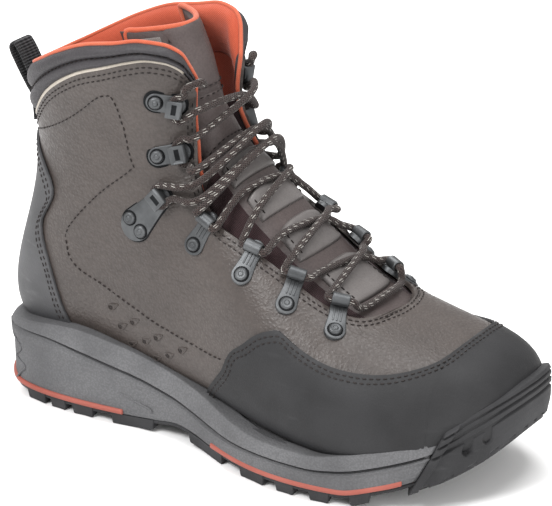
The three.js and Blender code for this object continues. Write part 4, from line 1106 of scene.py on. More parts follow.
def make_piping():
    """Bright piping along the top of the collar and down both edges of the throat."""
    around = collar_point(np.linspace(0, 1, 140), CUFF_END, -3.0, 0.4)
    down = []
    for side in SIDES.values():
        t = np.linspace(9.4, CUFF_END[side][0] - 0.05, 40)
        down.append(on_last(t, side * (through(THROAT, "half", t) - 0.006), -2.6))
    path = np.vstack([down[0], around[2:-2], down[1][::-1]])
    cord_piece("cuff_piping", [(smooth_path(path[::2], 1.6), 1.15, 8)], PIPING_FINISH)


def make_leather_edge():
    """Raw pale edge of the leather along its top."""
    path = collar_point(np.linspace(0.03, 0.97, 150), LEATHER_END, -LEATHER / 2 + 0.2, 0.35)
    cord_piece("leather_edge", [(path, LEATHER / 2 + 0.1, 8)], LEATHER_EDGE)


make_sides("upper_leather", 44, 150, leather_place, LEATHER_FINISH, LEATHER, ["upper"], 0.4)
make_sides("upper_lining", 24, 70, lining_place, LINING_FINISH, 0.4)
make_sides("toe_rand_rubber", 26, 90, rand_place, RAND_FINISH, OVERLAY, ["toe_rand"], 0.5)
make_sides(
    "heel_counter_shell", 26, 80, counter_place, COUNTER_FINISH, OVERLAY, ["heel_counter"], 0.5
)
make_cuff()
make_piping()
make_leather_edge()


# Tongue
TONGUE_START, TONGUE_END = TONGUE[0]["at"], TONGUE_TOP[-1]["at"]
SIDE_CLOTH = (9.7, 15.9)  # first and last section
GUSSET = (4.3, 11.9)


TONGUE_SEAMS = (9.35, 9.62, 12.1, 12.34)
SEAM_SLANT = 0.1  # sections by which the cross seams climb towards the tongue's side
SIDE_SEAM = 0.62


def tongue_relief(t, share):
    """Puffed panels between seams: two down the sides and a main one up the middle."""
    a = np.abs(share)
    side_seam = 0.9 * np.exp(-(((a - SIDE_SEAM) / 0.035) ** 2))
    rims = 0.5 * np.exp(-(((a - 0.9) / 0.05) ** 2))
    seams = sum(0.9 * np.exp(-(((t - at - SEAM_SLANT * share) / 0.07) ** 2)) for at in TONGUE_SEAMS)
    puff = 0.9 * np.cos(np.minimum(a / SIDE_SEAM, 1) * np.pi / 2) ** 2
    soft = 0.4 * np.sin(t * 3.1 + share * 2.3) * np.exp(-((t - 10.8) ** 2) / 3)
    return smooth(t, 9.0, 9.4) * (puff + soft - side_seam - seams) - rims * 0.6 * smooth(t, 8.6, 9.2)


def round_end(x, power):
    """1 in the middle and 0 at both ends, where x is -1 or 1, with a bend that grows sharper with power."""
    return np.sqrt(np.clip(1 - np.abs(x) ** power, 0, 1))


def tongue_place(u, v, offset):
    """All round the pad: its front face, its top, its back and its foot."""
    around = v * 2
    front = around <= 1
    part = np.where(front, around, 2 - around)
    t = TONGUE_START + (TONGUE_END - TONGUE_START) * np.clip(part, 0, 1)
    share = u * 2 - 1
    taper = 1 - 0.55 * smooth(t, TONGUE_END - 0.35, TONGUE_END)
    thick = TONGUE_PAD * (1 - np.abs(share) ** 6 * 0.8) * taper
    rounding = 0.5 * thick * (1 - round_end(np.clip((part - 0.965) / 0.035, 0, 1), 2))
    face = np.where(front, tongue_relief(t, share) - rounding, -thick + rounding)
    return on_tongue(t, share, face + np.where(front, offset, -offset))


def make_tongue():
    bm = bmesh.new()
    curved_grid(bm, 40, 260, tongue_place)
    close_solid(bm, 0.05)
    piece = finish_piece("tongue_pad", bm, TONGUE_FINISH, ["tongue"])
    # The tongue's lower sides, beside the leather, take the dark brown cloth: painted shadow
    two_cloths(piece, PAINTED_SHADOW_FINISH, lambda u, v: v < 0.21 and abs(u * 2 - 1) > 0.46)


def panel_place(panel):
    """A smooth raised pad under the laces, with a bowed front edge."""

    def place(u, v, offset):
        share = u * 2 - 1
        bow = 0.09 * (1 - share**2)
        t = panel["from"] + (panel["to"] - panel["from"]) * v - bow * (1 - 2 * v)
        half = panel["half"] / through(TONGUE, "half", t)
        height = 0.1 + 1.75 * round_end(share, 9) * round_end(2 * v - 1, 14)
        return on_tongue(t, share * half, height + offset)

    return place


def cloth_piece(name, places, columns, rows, material, thickness):
    """A piece of cloth in several parts, each a bent grid."""
    bm = bmesh.new()
    for place in places:
        curved_grid(bm, columns, rows, place)
    wall(finish_piece(name, bm, material), thickness)


def side_cloth_place(side):
    """A strip of cloth up one side of the tongue's top."""

    def place(u, v, lift):
        t = SIDE_CLOTH[0] + (SIDE_CLOTH[1] - SIDE_CLOTH[0]) * v
        share = side * (0.66 + 0.27 * u)
        return on_tongue(t, share, 0.35 + 0.5 * np.sin(u * np.pi) ** 0.5 + lift)

    return place


def gusset_place(side):
    """Folded cloth between one side of the tongue and the leather; the cloth is real, its dark brown colour
    is painted shadow.
    """

    def place(u, v, lift):
        t = GUSSET[0] + (GUSSET[1] - GUSSET[0]) * v
        inner = on_tongue(t, side * np.full(len(t), 0.93), -2.0)
        half = through(THROAT, "half", t)
        outer = on_last(t, side * (half + 0.012), -LEATHER - 1.0)
        sag = -3.0 * np.sin(u * np.pi) * smooth(v, 0.0, 0.2)
        out = normal_of(surface, t, side * half)
        return inner + (outer - inner) * u[:, None] + out * (sag + lift)[:, None]

    return place


def make_tongue_edge():
    """Bright piping round the top of the tongue and down its sides."""
    sides = np.linspace(9.6, TONGUE_END - 0.08, 30)
    path = [
        on_tongue(sides, np.full(30, -0.985), -1.4),
        on_tongue(np.full(40, TONGUE_END), np.linspace(-0.96, 0.96, 40), -1.6),
        on_tongue(sides[::-1], np.full(30, 0.985), -1.4),
    ]
    path = smooth_path(np.vstack(path)[::2], 1.6)
    cord_piece("tongue_piping", [(path, 1.5, 10)], PIPING_FINISH)


make_tongue()
cloth_piece("tongue_panels", [panel_place(panel) for panel in PANELS], 26, 16, PANEL_FINISH, 1.2)
cloth_piece("tongue_side_cloth", [side_cloth_place(s) for s in SIDES.values()], 8, 60, GUSSET_FINISH, 0.8)
make_tongue_edge()
cloth_piece("gusset", [gusset_place(s) for s in SIDES.values()], 10, 80, PAINTED_SHADOW_FINISH, 0.7)


# Sole
BUMPER_FOOT, BUMPER_TOP = along(BUMPER_LOW), along(BUMPER_HIGH)
PLATE_INSET = 1.6
FOOTBED_INSET = 9.5
CORE_SHIFT = 3.1  # how far the small wedge on each wedge of a lug lies out from the lug's middle
CORE_PROUD = 0.45
EDGE_PLAN = [  # corners of a lug at the edge: share of its length, and inset
    (0, 0.9), (0.33, 0.9), (0.66, 0.9), (1, 0.9), (0.95, EDGE_LUG_DEPTH * 0.75),
    (0.62, EDGE_LUG_DEPTH * 0.7), (0.45, EDGE_LUG_DEPTH), (0.1, EDGE_LUG_DEPTH * 0.9),
]
RING_MAP = (900, 60)  # size of a band's own map


def bumper_edge(z, shift=0.0):
    """Distance along the boot of the toe rubber's rear edge at a height."""
    rise = float(edge(BUMPER_TOP) - base(BUMPER_FOOT))
    return BUMPER_FOOT + shift + (z - float(base(BUMPER_FOOT))) * (BUMPER_TOP - BUMPER_FOOT) / rise


def level_at(levels, row, x):
    """Inset and height at a fractional row of a profile of [inset, height]."""
    i = np.clip(np.floor(row).astype(int), 0, len(levels) - 2)
    part = row - i
    inset = np.array([level[0] for level in levels])
    heights = np.stack([level[1](x) for level in levels])
    take = np.arange(len(x))
    low, high = heights[i, take], heights[i + 1, take]
    return inset[i] + part * (inset[i + 1] - inset[i]), low + part * (high - low)


def ring_place(levels, bounds, detail=None):
    """A band along the sole's outline, on a profile of levels. bounds gives the ends of the band, as places
    on the outline, for its heights."""
    count = len(levels) - 1

    def place(u, v, offset):
        row = v * count
        z = np.full(len(u), 15.0)
        for _ in range(4):
            start, end = bounds(z)
            at = start + (end - start) * u
            x = outline_at(at)[:, 0]
            inset, z = level_at(levels, row, x)
        extra = 0.0 if detail is None else detail(at, x, row, z)
        flat = outline_at(at, inset - extra - offset)
        return np.column_stack([flat, z])

    return place


def medial_place(x):
    """Place of the medial side on the outline, counted on from the lateral side past the heel."""
    return 2 * HALF_LOOP + outline_place(1, x)


def behind_bumper(z):
    x = bumper_edge(z, -GAP)
    return outline_place(-1, x), medial_place(x)


def ahead_of_bumper(z):
    x = bumper_edge(z)
    return outline_place(1, x), outline_place(-1, x)


def foam_level(part):
    """Height of the foam's side: 0 at its foot, 1 at the groove and 2 at its upper edge."""
    return lambda x: side_height(x, part)


def layer_level(share):
    return lambda x: under(x) + share * LAYER


MIDSOLE_LEVELS = [
    (1.2, under), (0.1, foam_level(0.25)), (0.1, foam_level(0.8)), (-0.45, foam_level(0.92)),
    (GROOVE_DEPTH, foam_level(0.99)), (GROOVE_DEPTH, foam_level(1.08)), (-0.1, foam_level(1.18)),
    (0.2, foam_level(1.32)), (RIM_LEAN * 0.7, foam_level(1.86)), (RIM_LEAN + 0.8, foam_level(2)),
    (13, foam_level(1.9)), (13.5, lambda x: under(x) + 0.3 * (edge(x) - under(x))),
    (12, lambda x: under(x) + LAYER + 0.4), (1.4, lambda x: under(x) + 0.05),
]


# Zigzag of the rear corner on the lateral side: share of the foam's height, and place on the outline
CORNER = table("high at", [
    (0.04, 12.15), (0.18, 11.92), (0.3, 11.72), (0.42, 12.08), (0.56, 11.85), (0.75, 12.3), (0.93, 12.6),
])


def corner_at(high):
    return through(CORNER, "at", high, "high")


def midsole_detail(at, x, row, z):
    """The back lies a little deeper than the side, and the arch's lower edge is drawn in."""
    share = share_of(x)
    body = smooth(row, 0.3, 1.0) * (1 - smooth(row, 2.0, 2.5))
    high = (z - under(x)) / (edge(x) - under(x))
    back = 0.7 * smooth(at - corner_at(high), -0.02, 0.04) * (1 - smooth(at, HALF_LOOP + 1, HALF_LOOP + 2))
    sink = 0.6 * (1 - smooth(high, 0.1, 0.36)) * smooth(share, 0.3, 0.36) * (1 - smooth(share, 0.44, 0.56))
    return -(back + sink) * body


def on_foam(at, high):
    """Places on the foam's side, at a share of its height."""
    x = outline_at(at)[:, 0]
    return np.column_stack([outline_at(at, 0.05), under(x) + high * (edge(x) - under(x))])


ANKLE_LINE = table("at high", [(0.285, 0.33), (0.31, 0.28), (0.345, 0.2), (0.352, 0.14)])


def make_foam_lines():
    """Low raised lines of the foam: the zigzag of the rear corner and a line under each ankle."""
    high = np.linspace(CORNER[0]["high"], CORNER[-1]["high"], 40)
    tubes = [(smooth_path(on_foam(corner_at(high), high), 0.7), 0.6, 8)]
    x = along(np.array([row["at"] for row in ANKLE_LINE]))
    high = np.array([row["high"] for row in ANKLE_LINE])
    for at in (outline_place(-1, x), medial_place(x)):
        tubes.append((smooth_path(on_foam(at, high), 0.7), 0.5, 6))
    cord_piece("foam_lines", tubes, FOAM_FINISH)


def ring_piece(
    name, levels, bounds, columns, rows_each, material, replaced=(), detail=None, bevel=0.0
):
    """A solid band along the sole's outline, on a closed profile of levels."""
    bm = bmesh.new()
    closed = [*levels, levels[0]]
    curved_grid(bm, columns, len(levels) * rows_each, ring_place(closed, bounds, detail), RING_MAP)
    close_solid(bm)
    piece = finish_piece(name, bm, material, replaced)
    if bevel:
        round_edges(piece, bevel, 30)


def make_groove_shade():
    """Dark line in the bottom of the groove round the foam: painted shade, a thin tube of dark rubber laid
    in the groove.
    """
    low = float(edge(BUMPER_FOOT)) * 0.6 + 4  # about where the groove meets the toe rubber
    first, last = behind_bumper(np.array([low]))
    at = np.linspace(first[0] + 0.02, last[0] - 0.02, 300)
    x = outline_at(at)[:, 0]
    line = np.column_stack([outline_at(at, GROOVE_DEPTH - 0.15), side_height(x, 1.035)])
    cord_piece("groove_painted_shade", [(line, 0.5, 6)], SOLE_FINISH)


LAYER_LEVELS = [
    (0.0, layer_level(0)), (-0.5, layer_level(0.3)), (-0.5, layer_level(0.7)), (0.0, layer_level(1)),
    (7, layer_level(1)), (7, layer_level(0)),
]


def make_layers():
    heel, rear, front = (along(share) for share in (HEEL_LAYER_END, *FRONT_LAYER))
    for name, columns, side, ends, replaced in (
        ("heel_layer_sheet", 120, -1, (heel, heel), ["heel_layer"]),
        ("forefoot_layer_lateral", 100, -1, (front, rear), ["forefoot_layer"]),
        ("forefoot_layer_medial", 100, 1, (rear, front), ()),
    ):
        first, last = (outline_place(side, x) for x in ends)
        if ends[0] == ends[1]:
            last = medial_place(ends[1])
        ring_piece(
            name, LAYER_LEVELS, lambda z, ends=(first, last): ends, columns, 1, LAYER_FINISH,
            replaced, bevel=0.5,
        )


def rise_of(share):
    return lambda x: base(x) + share * (edge(x) - base(x))


def lug_foot(x):
    return base(x) - LUG_DEPTH


def lug_top(x):
    return base(x) + PLATE * 0.5


BUMPER_LEVELS = [
    (3.4, lug_foot), (1.6, lambda x: lug_foot(x) + 0.4), (0.8, rise_of(0.0)), (0.2, rise_of(0.14)),
    (-0.2, rise_of(0.3)), (-0.2, rise_of(0.5)), (1.5, rise_of(0.56)), (-0.3, rise_of(0.61)),
    (-0.3, rise_of(0.7)), (1.4, rise_of(0.75)), (-0.2, rise_of(0.8)), (-0.1, rise_of(0.87)),
    (1.3, rise_of(0.91)), (0.1, rise_of(0.95)), (0.9, rise_of(1.02)), (5, rise_of(1.0)), (11, rise_of(0.2)),
    (11, lambda x: lug_foot(x) + 0.3),
]


# Scooped recesses of the toe rubber on the lateral side: place along the boot, half its width and half its
# height in mm. SCOOP_HIGH is their share of the rubber's height.
SCOOPS = table("at wide tall", [(0.962, 3.2, 5.0), (0.983, 3.0, 4.6)])
BUMPER_LIP = 1.9
NOTCH_DEPTH = 1.7
SCOOP_HIGH = 0.37
SCOOP_DEPTH = 2.6


def scoops(at, x, z):
    """Depth of the recesses: a steep rear wall, curved like a bracket, and a floor that rises ahead."""
    flat = outline_at(at)
    up = z - rise_of(SCOOP_HIGH)(x)
    depth = np.zeros(len(x))
    for row in SCOOPS:
        middle = along(row["at"])
        gap = np.linalg.norm(flat - edge_at(-1, middle), axis=1)
        ahead = gap * np.sign(outline_place(-1, middle) - at)
        rear = -row["wide"] * (1 - (up / row["tall"]) ** 2)
        floor = smooth(ahead - rear, -0.35, 0.35) * (1 - smooth(ahead, -0.1 * row["wide"], row["wide"]))
        depth += SCOOP_DEPTH * floor * (1 - smooth(np.abs(up), row["tall"] - 0.9, row["tall"]))
    return depth


def bumper_detail(at, x, row, z):
    """Raised lip along the rear edge, notches in the foot and two scooped recesses on the lateral side."""
    from_edge = x - bumper_edge(z)
    lip = BUMPER_LIP * (1 - smooth(from_edge, 3.0, 4.0)) * (1 - smooth(row, 13.2, 14)) * smooth(row, 0.2, 2)
    wave = np.sin(at * 13.5 + 0.8)
    notch = -NOTCH_DEPTH * smooth(wave, 0.15, 0.45) * (1 - smooth(row, 0.9, 1.6))
    return lip + notch - scoops(at, x, z)


def across_sole(x, u, inset):
    """Places between the two sides of the sole's outline at distances along the boot."""
    sides = [
        edge_at(side, np.clip(x, OUTLINE_X[side].min(), OUTLINE_X[side].max()), inset) for side in (-1, 1)
    ]
    return sides[0] + (sides[1] - sides[0]) * u[:, None]


def sole_length(v, inset):
    """Distances along the boot that crowd towards the heel and the tip."""
    low, high = OUTLINE_X[-1].min() + inset, OUTLINE_X[1].max() - inset
    return low + (high - low) * (1 - np.cos(v * np.pi)) / 2


def plate_place(u, v, offset):
    flat = across_sole(sole_length(v, PLATE_INSET), u, PLATE_INSET)
    return np.column_stack([flat, base(flat[:, 0]) - offset])


def make_plate():
    bm = bmesh.new()
    curved_grid(bm, 24, 140, plate_place)
    weld(bm)
    wall(finish_piece("outsole_plate", bm, SOLE_FINISH), PLATE)


def block(bm, corners, top, foot, bevel=0.6, taper=0.4):
    """A block over a plan of corners, between two heights that follow the distance along the boot."""
    corners = np.asarray(corners, float)
    turn = np.roll(corners, -1, 0)
    area = (corners[:, 0] * turn[:, 1] - turn[:, 0] * corners[:, 1]).sum()
    corners = corners if area > 0 else corners[::-1]
    middle = corners.mean(0)

    def lowered(co):
        x, y = co.x / MM, co.y / MM
        drawn = (middle - (x, y)) / max(np.hypot(*(middle - (x, y))), 1) * taper
        return Vector((x + drawn[0], y + drawn[1], float(foot(x)))) * MM

    low, _ = prism(bm, [Vector((x, y, float(top(x)))) * MM for x, y in corners], lowered)
    soften(bm, {e for v in low for e in v.link_edges}, bevel)


def turned(points, turn, middle):
    c, s = math.cos(turn), math.sin(turn)
    return [(middle[0] + x * c - y * s, middle[1] + x * s + y * c) for x, y in points]


def lug_wedge(reach):
    """Corners of one of three wedges of a lug, about its middle."""
    apex = 2 * LUG_SPLIT
    flank, nose = reach * 0.75, reach * 0.86
    rim = [(flank, -60), (nose, -26), (nose * 0.9, 0), (nose, 26), (flank, 60)]
    rim = [(r, math.radians(angle)) for r, angle in rim]
    return [(apex, 0), *((apex + r * math.cos(angle), r * math.sin(angle)) for r, angle in rim)]


def make_lugs():
    bm = bmesh.new()
    for row in LUG_GROUPS:
        middle = along(row["at"]), row["across"] * BALL_WIDTH
        reach = LUG_REACH * row["size"]
        for step in (0, 120, 240):
            turn = math.radians(row["turn"] + step)
            block(bm, turned(lug_wedge(reach), turn, middle), lug_top, lug_foot)
            inner = middle[0] + CORE_SHIFT * math.cos(turn), middle[1] + CORE_SHIFT * math.sin(turn)
            core = turned(lug_wedge(reach * 0.42), turn, inner)
            block(bm, core, lug_top, lambda x: lug_foot(x) - CORE_PROUD, 0.3, 0.2)
    wide, long = LUG_REACH * 0.55, LUG_REACH * 1.45
    for row in CHEVRONS:
        middle = along(row["at"]), row["across"] * BALL_WIDTH
        for side in (1, -1):
            bar = [
                (0, side * LUG_SPLIT * 0.6), (long * 0.75, side * long * 0.62),
                (long * 0.5, side * (long * 0.62 + wide * 0.8)), (-wide * 0.9, side * wide * 0.35),
            ]
            block(bm, turned(bar, math.radians(row["turn"]), middle), lug_top, lug_foot)
    for side, lugs in EDGE_LUGS.items():
        for first, last in lugs:
            corners = [
                edge_at(side, along(first + (last - first) * part), inset) for part, inset in EDGE_PLAN
            ]
            block(bm, corners, lambda x: base(x) + PLATE, lug_foot, 0.7, 1.2)
    finish_piece("outsole_lugs", bm, SOLE_FINISH, smooth_faces=False)


def make_toe_plate():
    start = outline_place(1, along(TOE_EDGE[-1]["at"]))
    end = outline_place(-1, along(TOE_EDGE[0]["at"]))
    corners = [tuple(outline_at(at, 3.2)) for at in np.linspace(start, end, 26)]
    corners += [(along(r["at"]), r["across"] * BALL_WIDTH) for r in TOE_EDGE[1:-1]]
    front = max(OUTLINE_X[1])
    bm = bmesh.new()
    block(bm, corners, lambda x: base(min(x, front)) + PLATE, lambda x: lug_foot(min(x, front)))
    finish_piece("toe_tread", bm, SOLE_FINISH, smooth_faces=False)


def footbed_place(u, v, offset):
    flat = across_sole(sole_length(v, FOOTBED_INSET), u, FOOTBED_INSET)
    height = underside_at(flat[:, 0]) + LEATHER + GAP + INSOLE
    rim = np.abs(u * 2 - 1) ** 4 * 1.6
    return np.column_stack([flat, height + rim + offset])


def make_insole():
    """Footbed that lies on the underside of the last, inside the leather."""
    bm = bmesh.new()
    curved_grid(bm, 20, 90, footbed_place)
    weld(bm)
    wall(finish_piece("footbed", bm, INSOLE_FINISH, ["insole"]), INSOLE * 0.8)


def underside_at(x):
    t = np.linspace(0, 12, 400)
    line = surface(t, np.ones(len(t)))
    line = line[line[:, 2] < SEAT + 14]
    order = np.argsort(line[:, 0])
    return np.interp(x, line[order, 0], line[order, 2])


ring_piece(
    "midsole_foam", MIDSOLE_LEVELS, behind_bumper, 420, 10, FOAM_FINISH, ["midsole"], midsole_detail
)
make_groove_shade()
make_foam_lines()
make_layers()
ring_piece(
    "toe_bumper", BUMPER_LEVELS, ahead_of_bumper, 480, 6, SOLE_FINISH, ["outsole"],
    bumper_detail,
)
make_plate()
make_lugs()
make_toe_plate()
make_insole()


# Lace holders
SINK = 0.6  # how far a plate reaches into the leather
LOOP_SINK = 1.2
BACKING_SINK = 1.6
BACKING_TOP = 0.35
BACKING_RIM = 1.3
PLATE_WAIST = 0.55  # share of the way from the rivet to the head at which a plate is narrowest
RIBS = (-1.9, 0.0, 1.9)
RIB_HALF = 0.45
HEAD_RIM = 2.7  # width of the rim round the recess in a head
HEAD_RECESS = 0.9


class Holder:
    """A lace holder's own frame on the leather: X from the rivet to the head, Z out of the leather."""

    def __init__(self, side, row):
        self.rivet = on_last(row["at"], side * row["half"])
        head = on_last(row["headAt"], side * row["headHalf"])
        share = side * (row["half"] + row["headHalf"]) / 2
        out = normal_of(surface, (row["at"] + row["headAt"]) / 2, share)
        x = unit(head - self.rivet)
        y = unit(np.cross(out, x))
        self.turn = np.stack([x, y, np.cross(x, y)], -1)
        self.reach = float(np.linalg.norm(head - self.rivet))

    def placed(self, points):
        return np.asarray(points, float) @ self.turn.T + self.rivet

    def corner(self, *point):
        return Vector(self.placed(point)) * MM

    def shift(self, axis, distance):
        return Vector(self.turn[:, axis] * distance) * MM


def revolve(bm, holder, profile, middle, axis=2, sides=20):
    """A closed turned shape about a line through a place in a holder's own frame."""
    profile = np.asarray(profile, float)
    round_axis = 3 - axis

    def place(u, v, offset):
        i = np.round(v * (len(profile) - 1)).astype(int)
        on_axis = profile[i, 0] <= 1e-6
        r = profile[i, 0] + offset * ~on_axis
        local = np.tile(np.array(middle, float), (len(u), 1))
        local[:, 0] += r * np.cos(u * 2 * np.pi)
        local[:, round_axis] += r * np.sin(u * 2 * np.pi)
        local[:, axis] += profile[i, 1] + offset * on_axis
        return holder.placed(local)

    curved_grid(bm, sides, len(profile) - 1, place)


def rim_plate(bm, holder, outline, foot, top, bevel):
    """A flat plate over an outline in the holder's own frame, its upper edge rounded."""
    shift = holder.shift(2, top - foot)
    upper, _ = prism(bm, [holder.corner(x, y, foot) for x, y in outline], lambda co: co + shift)
    rim = [e for e in {e for v in upper for e in v.link_edges} if all(v in upper for v in e.verts)]
    soften(bm, rim, bevel, 3)


def stadium(reach, r0, r1, waist=0.0, grow=0.0, count=18):
    """Outline of a plate round the rivet and the head, with its waist drawn in."""
    narrow = (r0 + (r1 - r0) * PLATE_WAIST) * (1 - waist) + grow
    points = []
    for middle, r, first, y in ((0, r0, math.pi / 2, -narrow), (reach, r1, -math.pi / 2, narrow)):
        for a in np.linspace(first, first + math.pi, count):
            points.append((middle + (r + grow) * math.cos(a), (r + grow) * math.sin(a)))
        if waist:
            points.append((reach * PLATE_WAIST, y))
    return points


RIVET_HEAD = [
    (0, 2.0), (0.9, 2.0), (1.3, 1.75), (1.5, 1.45), (1.9, 1.45), (2.5, 1.6), (3.0, 1.3), (3.35, 0.8),
    (3.4, 0.1), (3.4, -0.9), (0, -0.9),
]
RIVET_RING = [(3.2, -0.6), (4.1, -0.6), (4.1, 0.2), (3.9, 0.42), (3.5, 0.42), (3.2, 0.25), (3.2, -0.6)]


def make_rivet(bm, ring, holder, y=0.0):
    for part, profile in ((bm, RIVET_HEAD), (ring, RIVET_RING)):
        revolve(part, holder, profile, (0, y, HARDWARE_PLATE), sides=22)


def make_head(bm, holder):
    """The bent head of a hook: its side profile carried across the plate, with a dark recess on top."""
    profile = head_profile(holder.reach)
    shift = holder.shift(1, HOOK_WIDTH)
    _, whole = prism(bm, [holder.corner(x, -HOOK_WIDTH / 2, z) for x, z in profile], lambda co: co + shift)
    out = Vector(holder.turn[:, 2])
    top = max(whole, key=lambda f: f.normal.dot(out) * f.calc_area())
    bmesh.ops.inset_region(bm, faces=[top], thickness=HEAD_RIM * MM)
    bmesh.ops.translate(bm, verts=list(top.verts), vec=-out * HEAD_RECESS * MM)
    top.material_index = 1
    whole = [f for f in whole if f.is_valid and f is not top]
    edges = {e for f in whole for e in f.edges if len(e.link_faces) == 2 and e.calc_face_angle(0) > 0.6}
    edges = [e for e in edges if all(f.material_index == 0 for f in e.link_faces)]
    soften(bm, edges, 0.55, clamp=True)


def fold_profile():
    half, r, hole = LOOP_WIDTH / 2, LOOP_RADIUS, LOOP_HOLE
    return [
        (hole, -half + 0.4), (hole, half - 0.4), (hole + 0.3, half), (r - 0.35, half), (r, half - 0.45),
        (r, -half + 0.45), (r - 0.35, -half), (hole + 0.3, -half), (hole, -half + 0.4),
    ]


def head_profile(reach):
    top = HARDWARE_PLATE + HOOK_RISE
    front, back = reach + HOOK_WIDTH * 0.36, reach - HOOK_WIDTH * 0.55
    return [
        (front - HOOK_WALL * 2, 0), (front - HOOK_WALL * 0.4, 0), (front, top * 0.6),
        (front - 0.2, top + HOOK_WALL * 0.4), (front - HOOK_WALL * 0.7, top + HOOK_WALL),
        (back + HOOK_WALL * 0.6, top + HOOK_WALL), (back, top + HOOK_WALL * 0.6),
        (back + HOOK_WALL * 0.3, top), (front - HOOK_WALL * 1.8, top),
    ]


def loop_parts(bm, ring, backing, holder):
    reach, near = holder.reach, RIVET_RADIUS + 1.7
    outline = stadium(reach, RIVET_RADIUS + 1.9, LOOP_WIDTH / 2, 0.1)
    rim_plate(bm, holder, outline, -LOOP_SINK, HARDWARE_PLATE, 0.5)
    for y in RIBS:
        low, high = y - RIB_HALF, y + RIB_HALF
        rib = [(near, low), (reach - 2.6, low), (reach - 2.6, high), (near, high)]
        rim_plate(bm, holder, rib, HARDWARE_PLATE - 0.3, HARDWARE_PLATE + 0.45, 0.3)
    make_rivet(bm, ring, holder)
    revolve(bm, holder, fold_profile(), (reach, 0, LOOP_RADIUS + HARDWARE_PLATE / 2), 1, 24)


def headed_parts(bm, ring, backing, holder, r0, r1, under_r0, rivets):
    """A plate with one or two rivets and a head, on a dark backing."""
    under = stadium(holder.reach, under_r0, r1, grow=BACKING_RIM)
    rim_plate(backing, holder, under, -BACKING_SINK, BACKING_TOP, 0.5)
    rim_plate(bm, holder, stadium(holder.reach, r0, r1), -SINK, HARDWARE_PLATE, 0.4)
    for y in rivets:
        make_rivet(bm, ring, holder, y)
    make_head(bm, holder)


def hook_parts(bm, ring, backing, holder):
    r = RIVET_RADIUS + 1.3
    headed_parts(bm, ring, backing, holder, r, r, r, [0])


def lock_parts(bm, ring, backing, holder):
    spread = RIVET_RADIUS + 0.95
    rear = spread + RIVET_RADIUS
    headed_parts(bm, ring, backing, holder, rear + 0.6, HOOK_WIDTH / 2, rear, [spread, -spread])


def make_hardware():
    counts = {}
    for row in LACING:
        kind = row["kind"]
        counts[kind] = counts.get(kind, 0) + 1
        for word, side in SIDES.items():
            name = f"{kind}_{word}_{counts[kind]}"
            bm, ring, backing = bmesh.new(), bmesh.new(), bmesh.new()
            {"loop": loop_parts, "hook": hook_parts, "lock": lock_parts}[kind](
                bm, ring, backing, Holder(side, row)
            )
            for part in (bm, ring, backing):
                weld(part, 0.01)
            plate = finish_piece(f"{name}_plate", bm, METAL_FINISH, [f"lace_{name}"])
            plate.data.materials.append(DARK_METAL)
            plate.data.set_sharp_from_angle(angle=math.radians(32))
            finish_piece(f"{name}_ring", ring, DARK_METAL)
            if kind == "loop":
                backing.free()
            else:
                finish_piece(f"{name}_backing", backing, DARK_METAL)


make_hardware()


# Laces
LACE_SEAT = 1.55
EDGE_SEAT = 3.9
BAR_AT = 4.76
LACE_SPREAD = 0.4
TONGUE_ROWS = 3
EXITS = {
    "loop": (0, LOOP_WIDTH / 2 + 2.2, LOOP_WIDTH / 2 + 2.2, LOOP_RADIUS + HARDWARE_PLATE / 2),
    "lock": (HOOK_WIDTH * 0.4 + 2.6, LACE * 1.5, LACE * 0.3, HARDWARE_PLATE + HOOK_RISE / 2),
    "hook": (HOOK_WALL * 2, HOOK_WIDTH / 2 + 2.4, HOOK_WIDTH / 2 + 2.4, HARDWARE_PLATE + HOOK_RISE / 2),
}
LOCK_EXIT = (HOOK_WIDTH * 0.4 + 0.6, -4.6)
INSIDES = {
    "loop": [(0, 3.2), (0, -3.2)],
    "lock": [(-1.6, 4.4), (-2.2, 1.5), (-1.4, -2.6)],
    "hook": [(-1.5, 4.4), (-2.3, 0), (-1.5, -4.4)],
}
CENTRE_SHIFT = 0.12  # share of the tongue's half width by which crossings lie nearer the medial side


def through_holder(row, side):
    """Places of a lace from the toe's side of a holder to the heel's side."""
    ahead, toe_side, heel_side, height = EXITS[row["kind"]]
    places = [(ahead, toe_side), *INSIDES[row["kind"]], (ahead, -heel_side)]
    if row["kind"] == "lock":
        places[-1] = LOCK_EXIT
    holder = Holder(side, row)
    return [holder.placed((holder.reach + x, side * y, height)) for x, y in places]


def lace_on_tongue(t, share, lift):
    on_panel = any(p["from"] < t < p["to"] for p in PANELS)
    seat = LACE_SEAT + LACE / 2 + (TONGUE_PANEL if on_panel else 0) + lift
    return on_tongue(np.array([t]), np.array([share]), seat)[0]


def lace_over(t, share, lift):
    return on_last(np.array([t]), np.array([share]), LACE / 2 + EDGE_SEAT + lift)[0]


def crossing_places(i, side, over):
    """Places of one lace between its holder in a row and the one across in the next row."""
    row, following = LACING[i], LACING[i + 1]
    lift = LACE * (0.62 if over else -0.3)
    start, end = row["heelWay"], following["toeWay"]
    if i < TONGUE_ROWS:
        first, last = (
            lace_on_tongue(t, LACE_SPREAD * way + CENTRE_SHIFT * 0.5, lift * 0.3)
            for t, way in ((start, side), (end, -side))
        )
        return [first, lace_on_tongue((start + end) / 2, CENTRE_SHIFT, lift), last]
    near, far = (float(through(THROAT, "half", t)) for t in (start, end))
    centre = lace_over((start + end) / 2, CENTRE_SHIFT * near, lift)
    return [lace_over(start, side * near, 0), centre, lace_over(end, -side * far, 0)]


# The last length of lace from the top hook's head: sections on, halves nearer the throat, and height
LACE_END = [(0.85, 0.02, 4.6), (0.8, 0.08, 4.2), (0.42, 0.11, 2.6)]


def lace_end(side):
    """The last length of lace, up beside the top hook and over the throat's edge."""
    at, half = LACING[-1]["headAt"], LACING[-1]["headHalf"]
    return [
        on_last(np.array([at + on]), np.array([side * (half - nearer)]), lift)[0]
        for on, nearer, lift in LACE_END
    ]


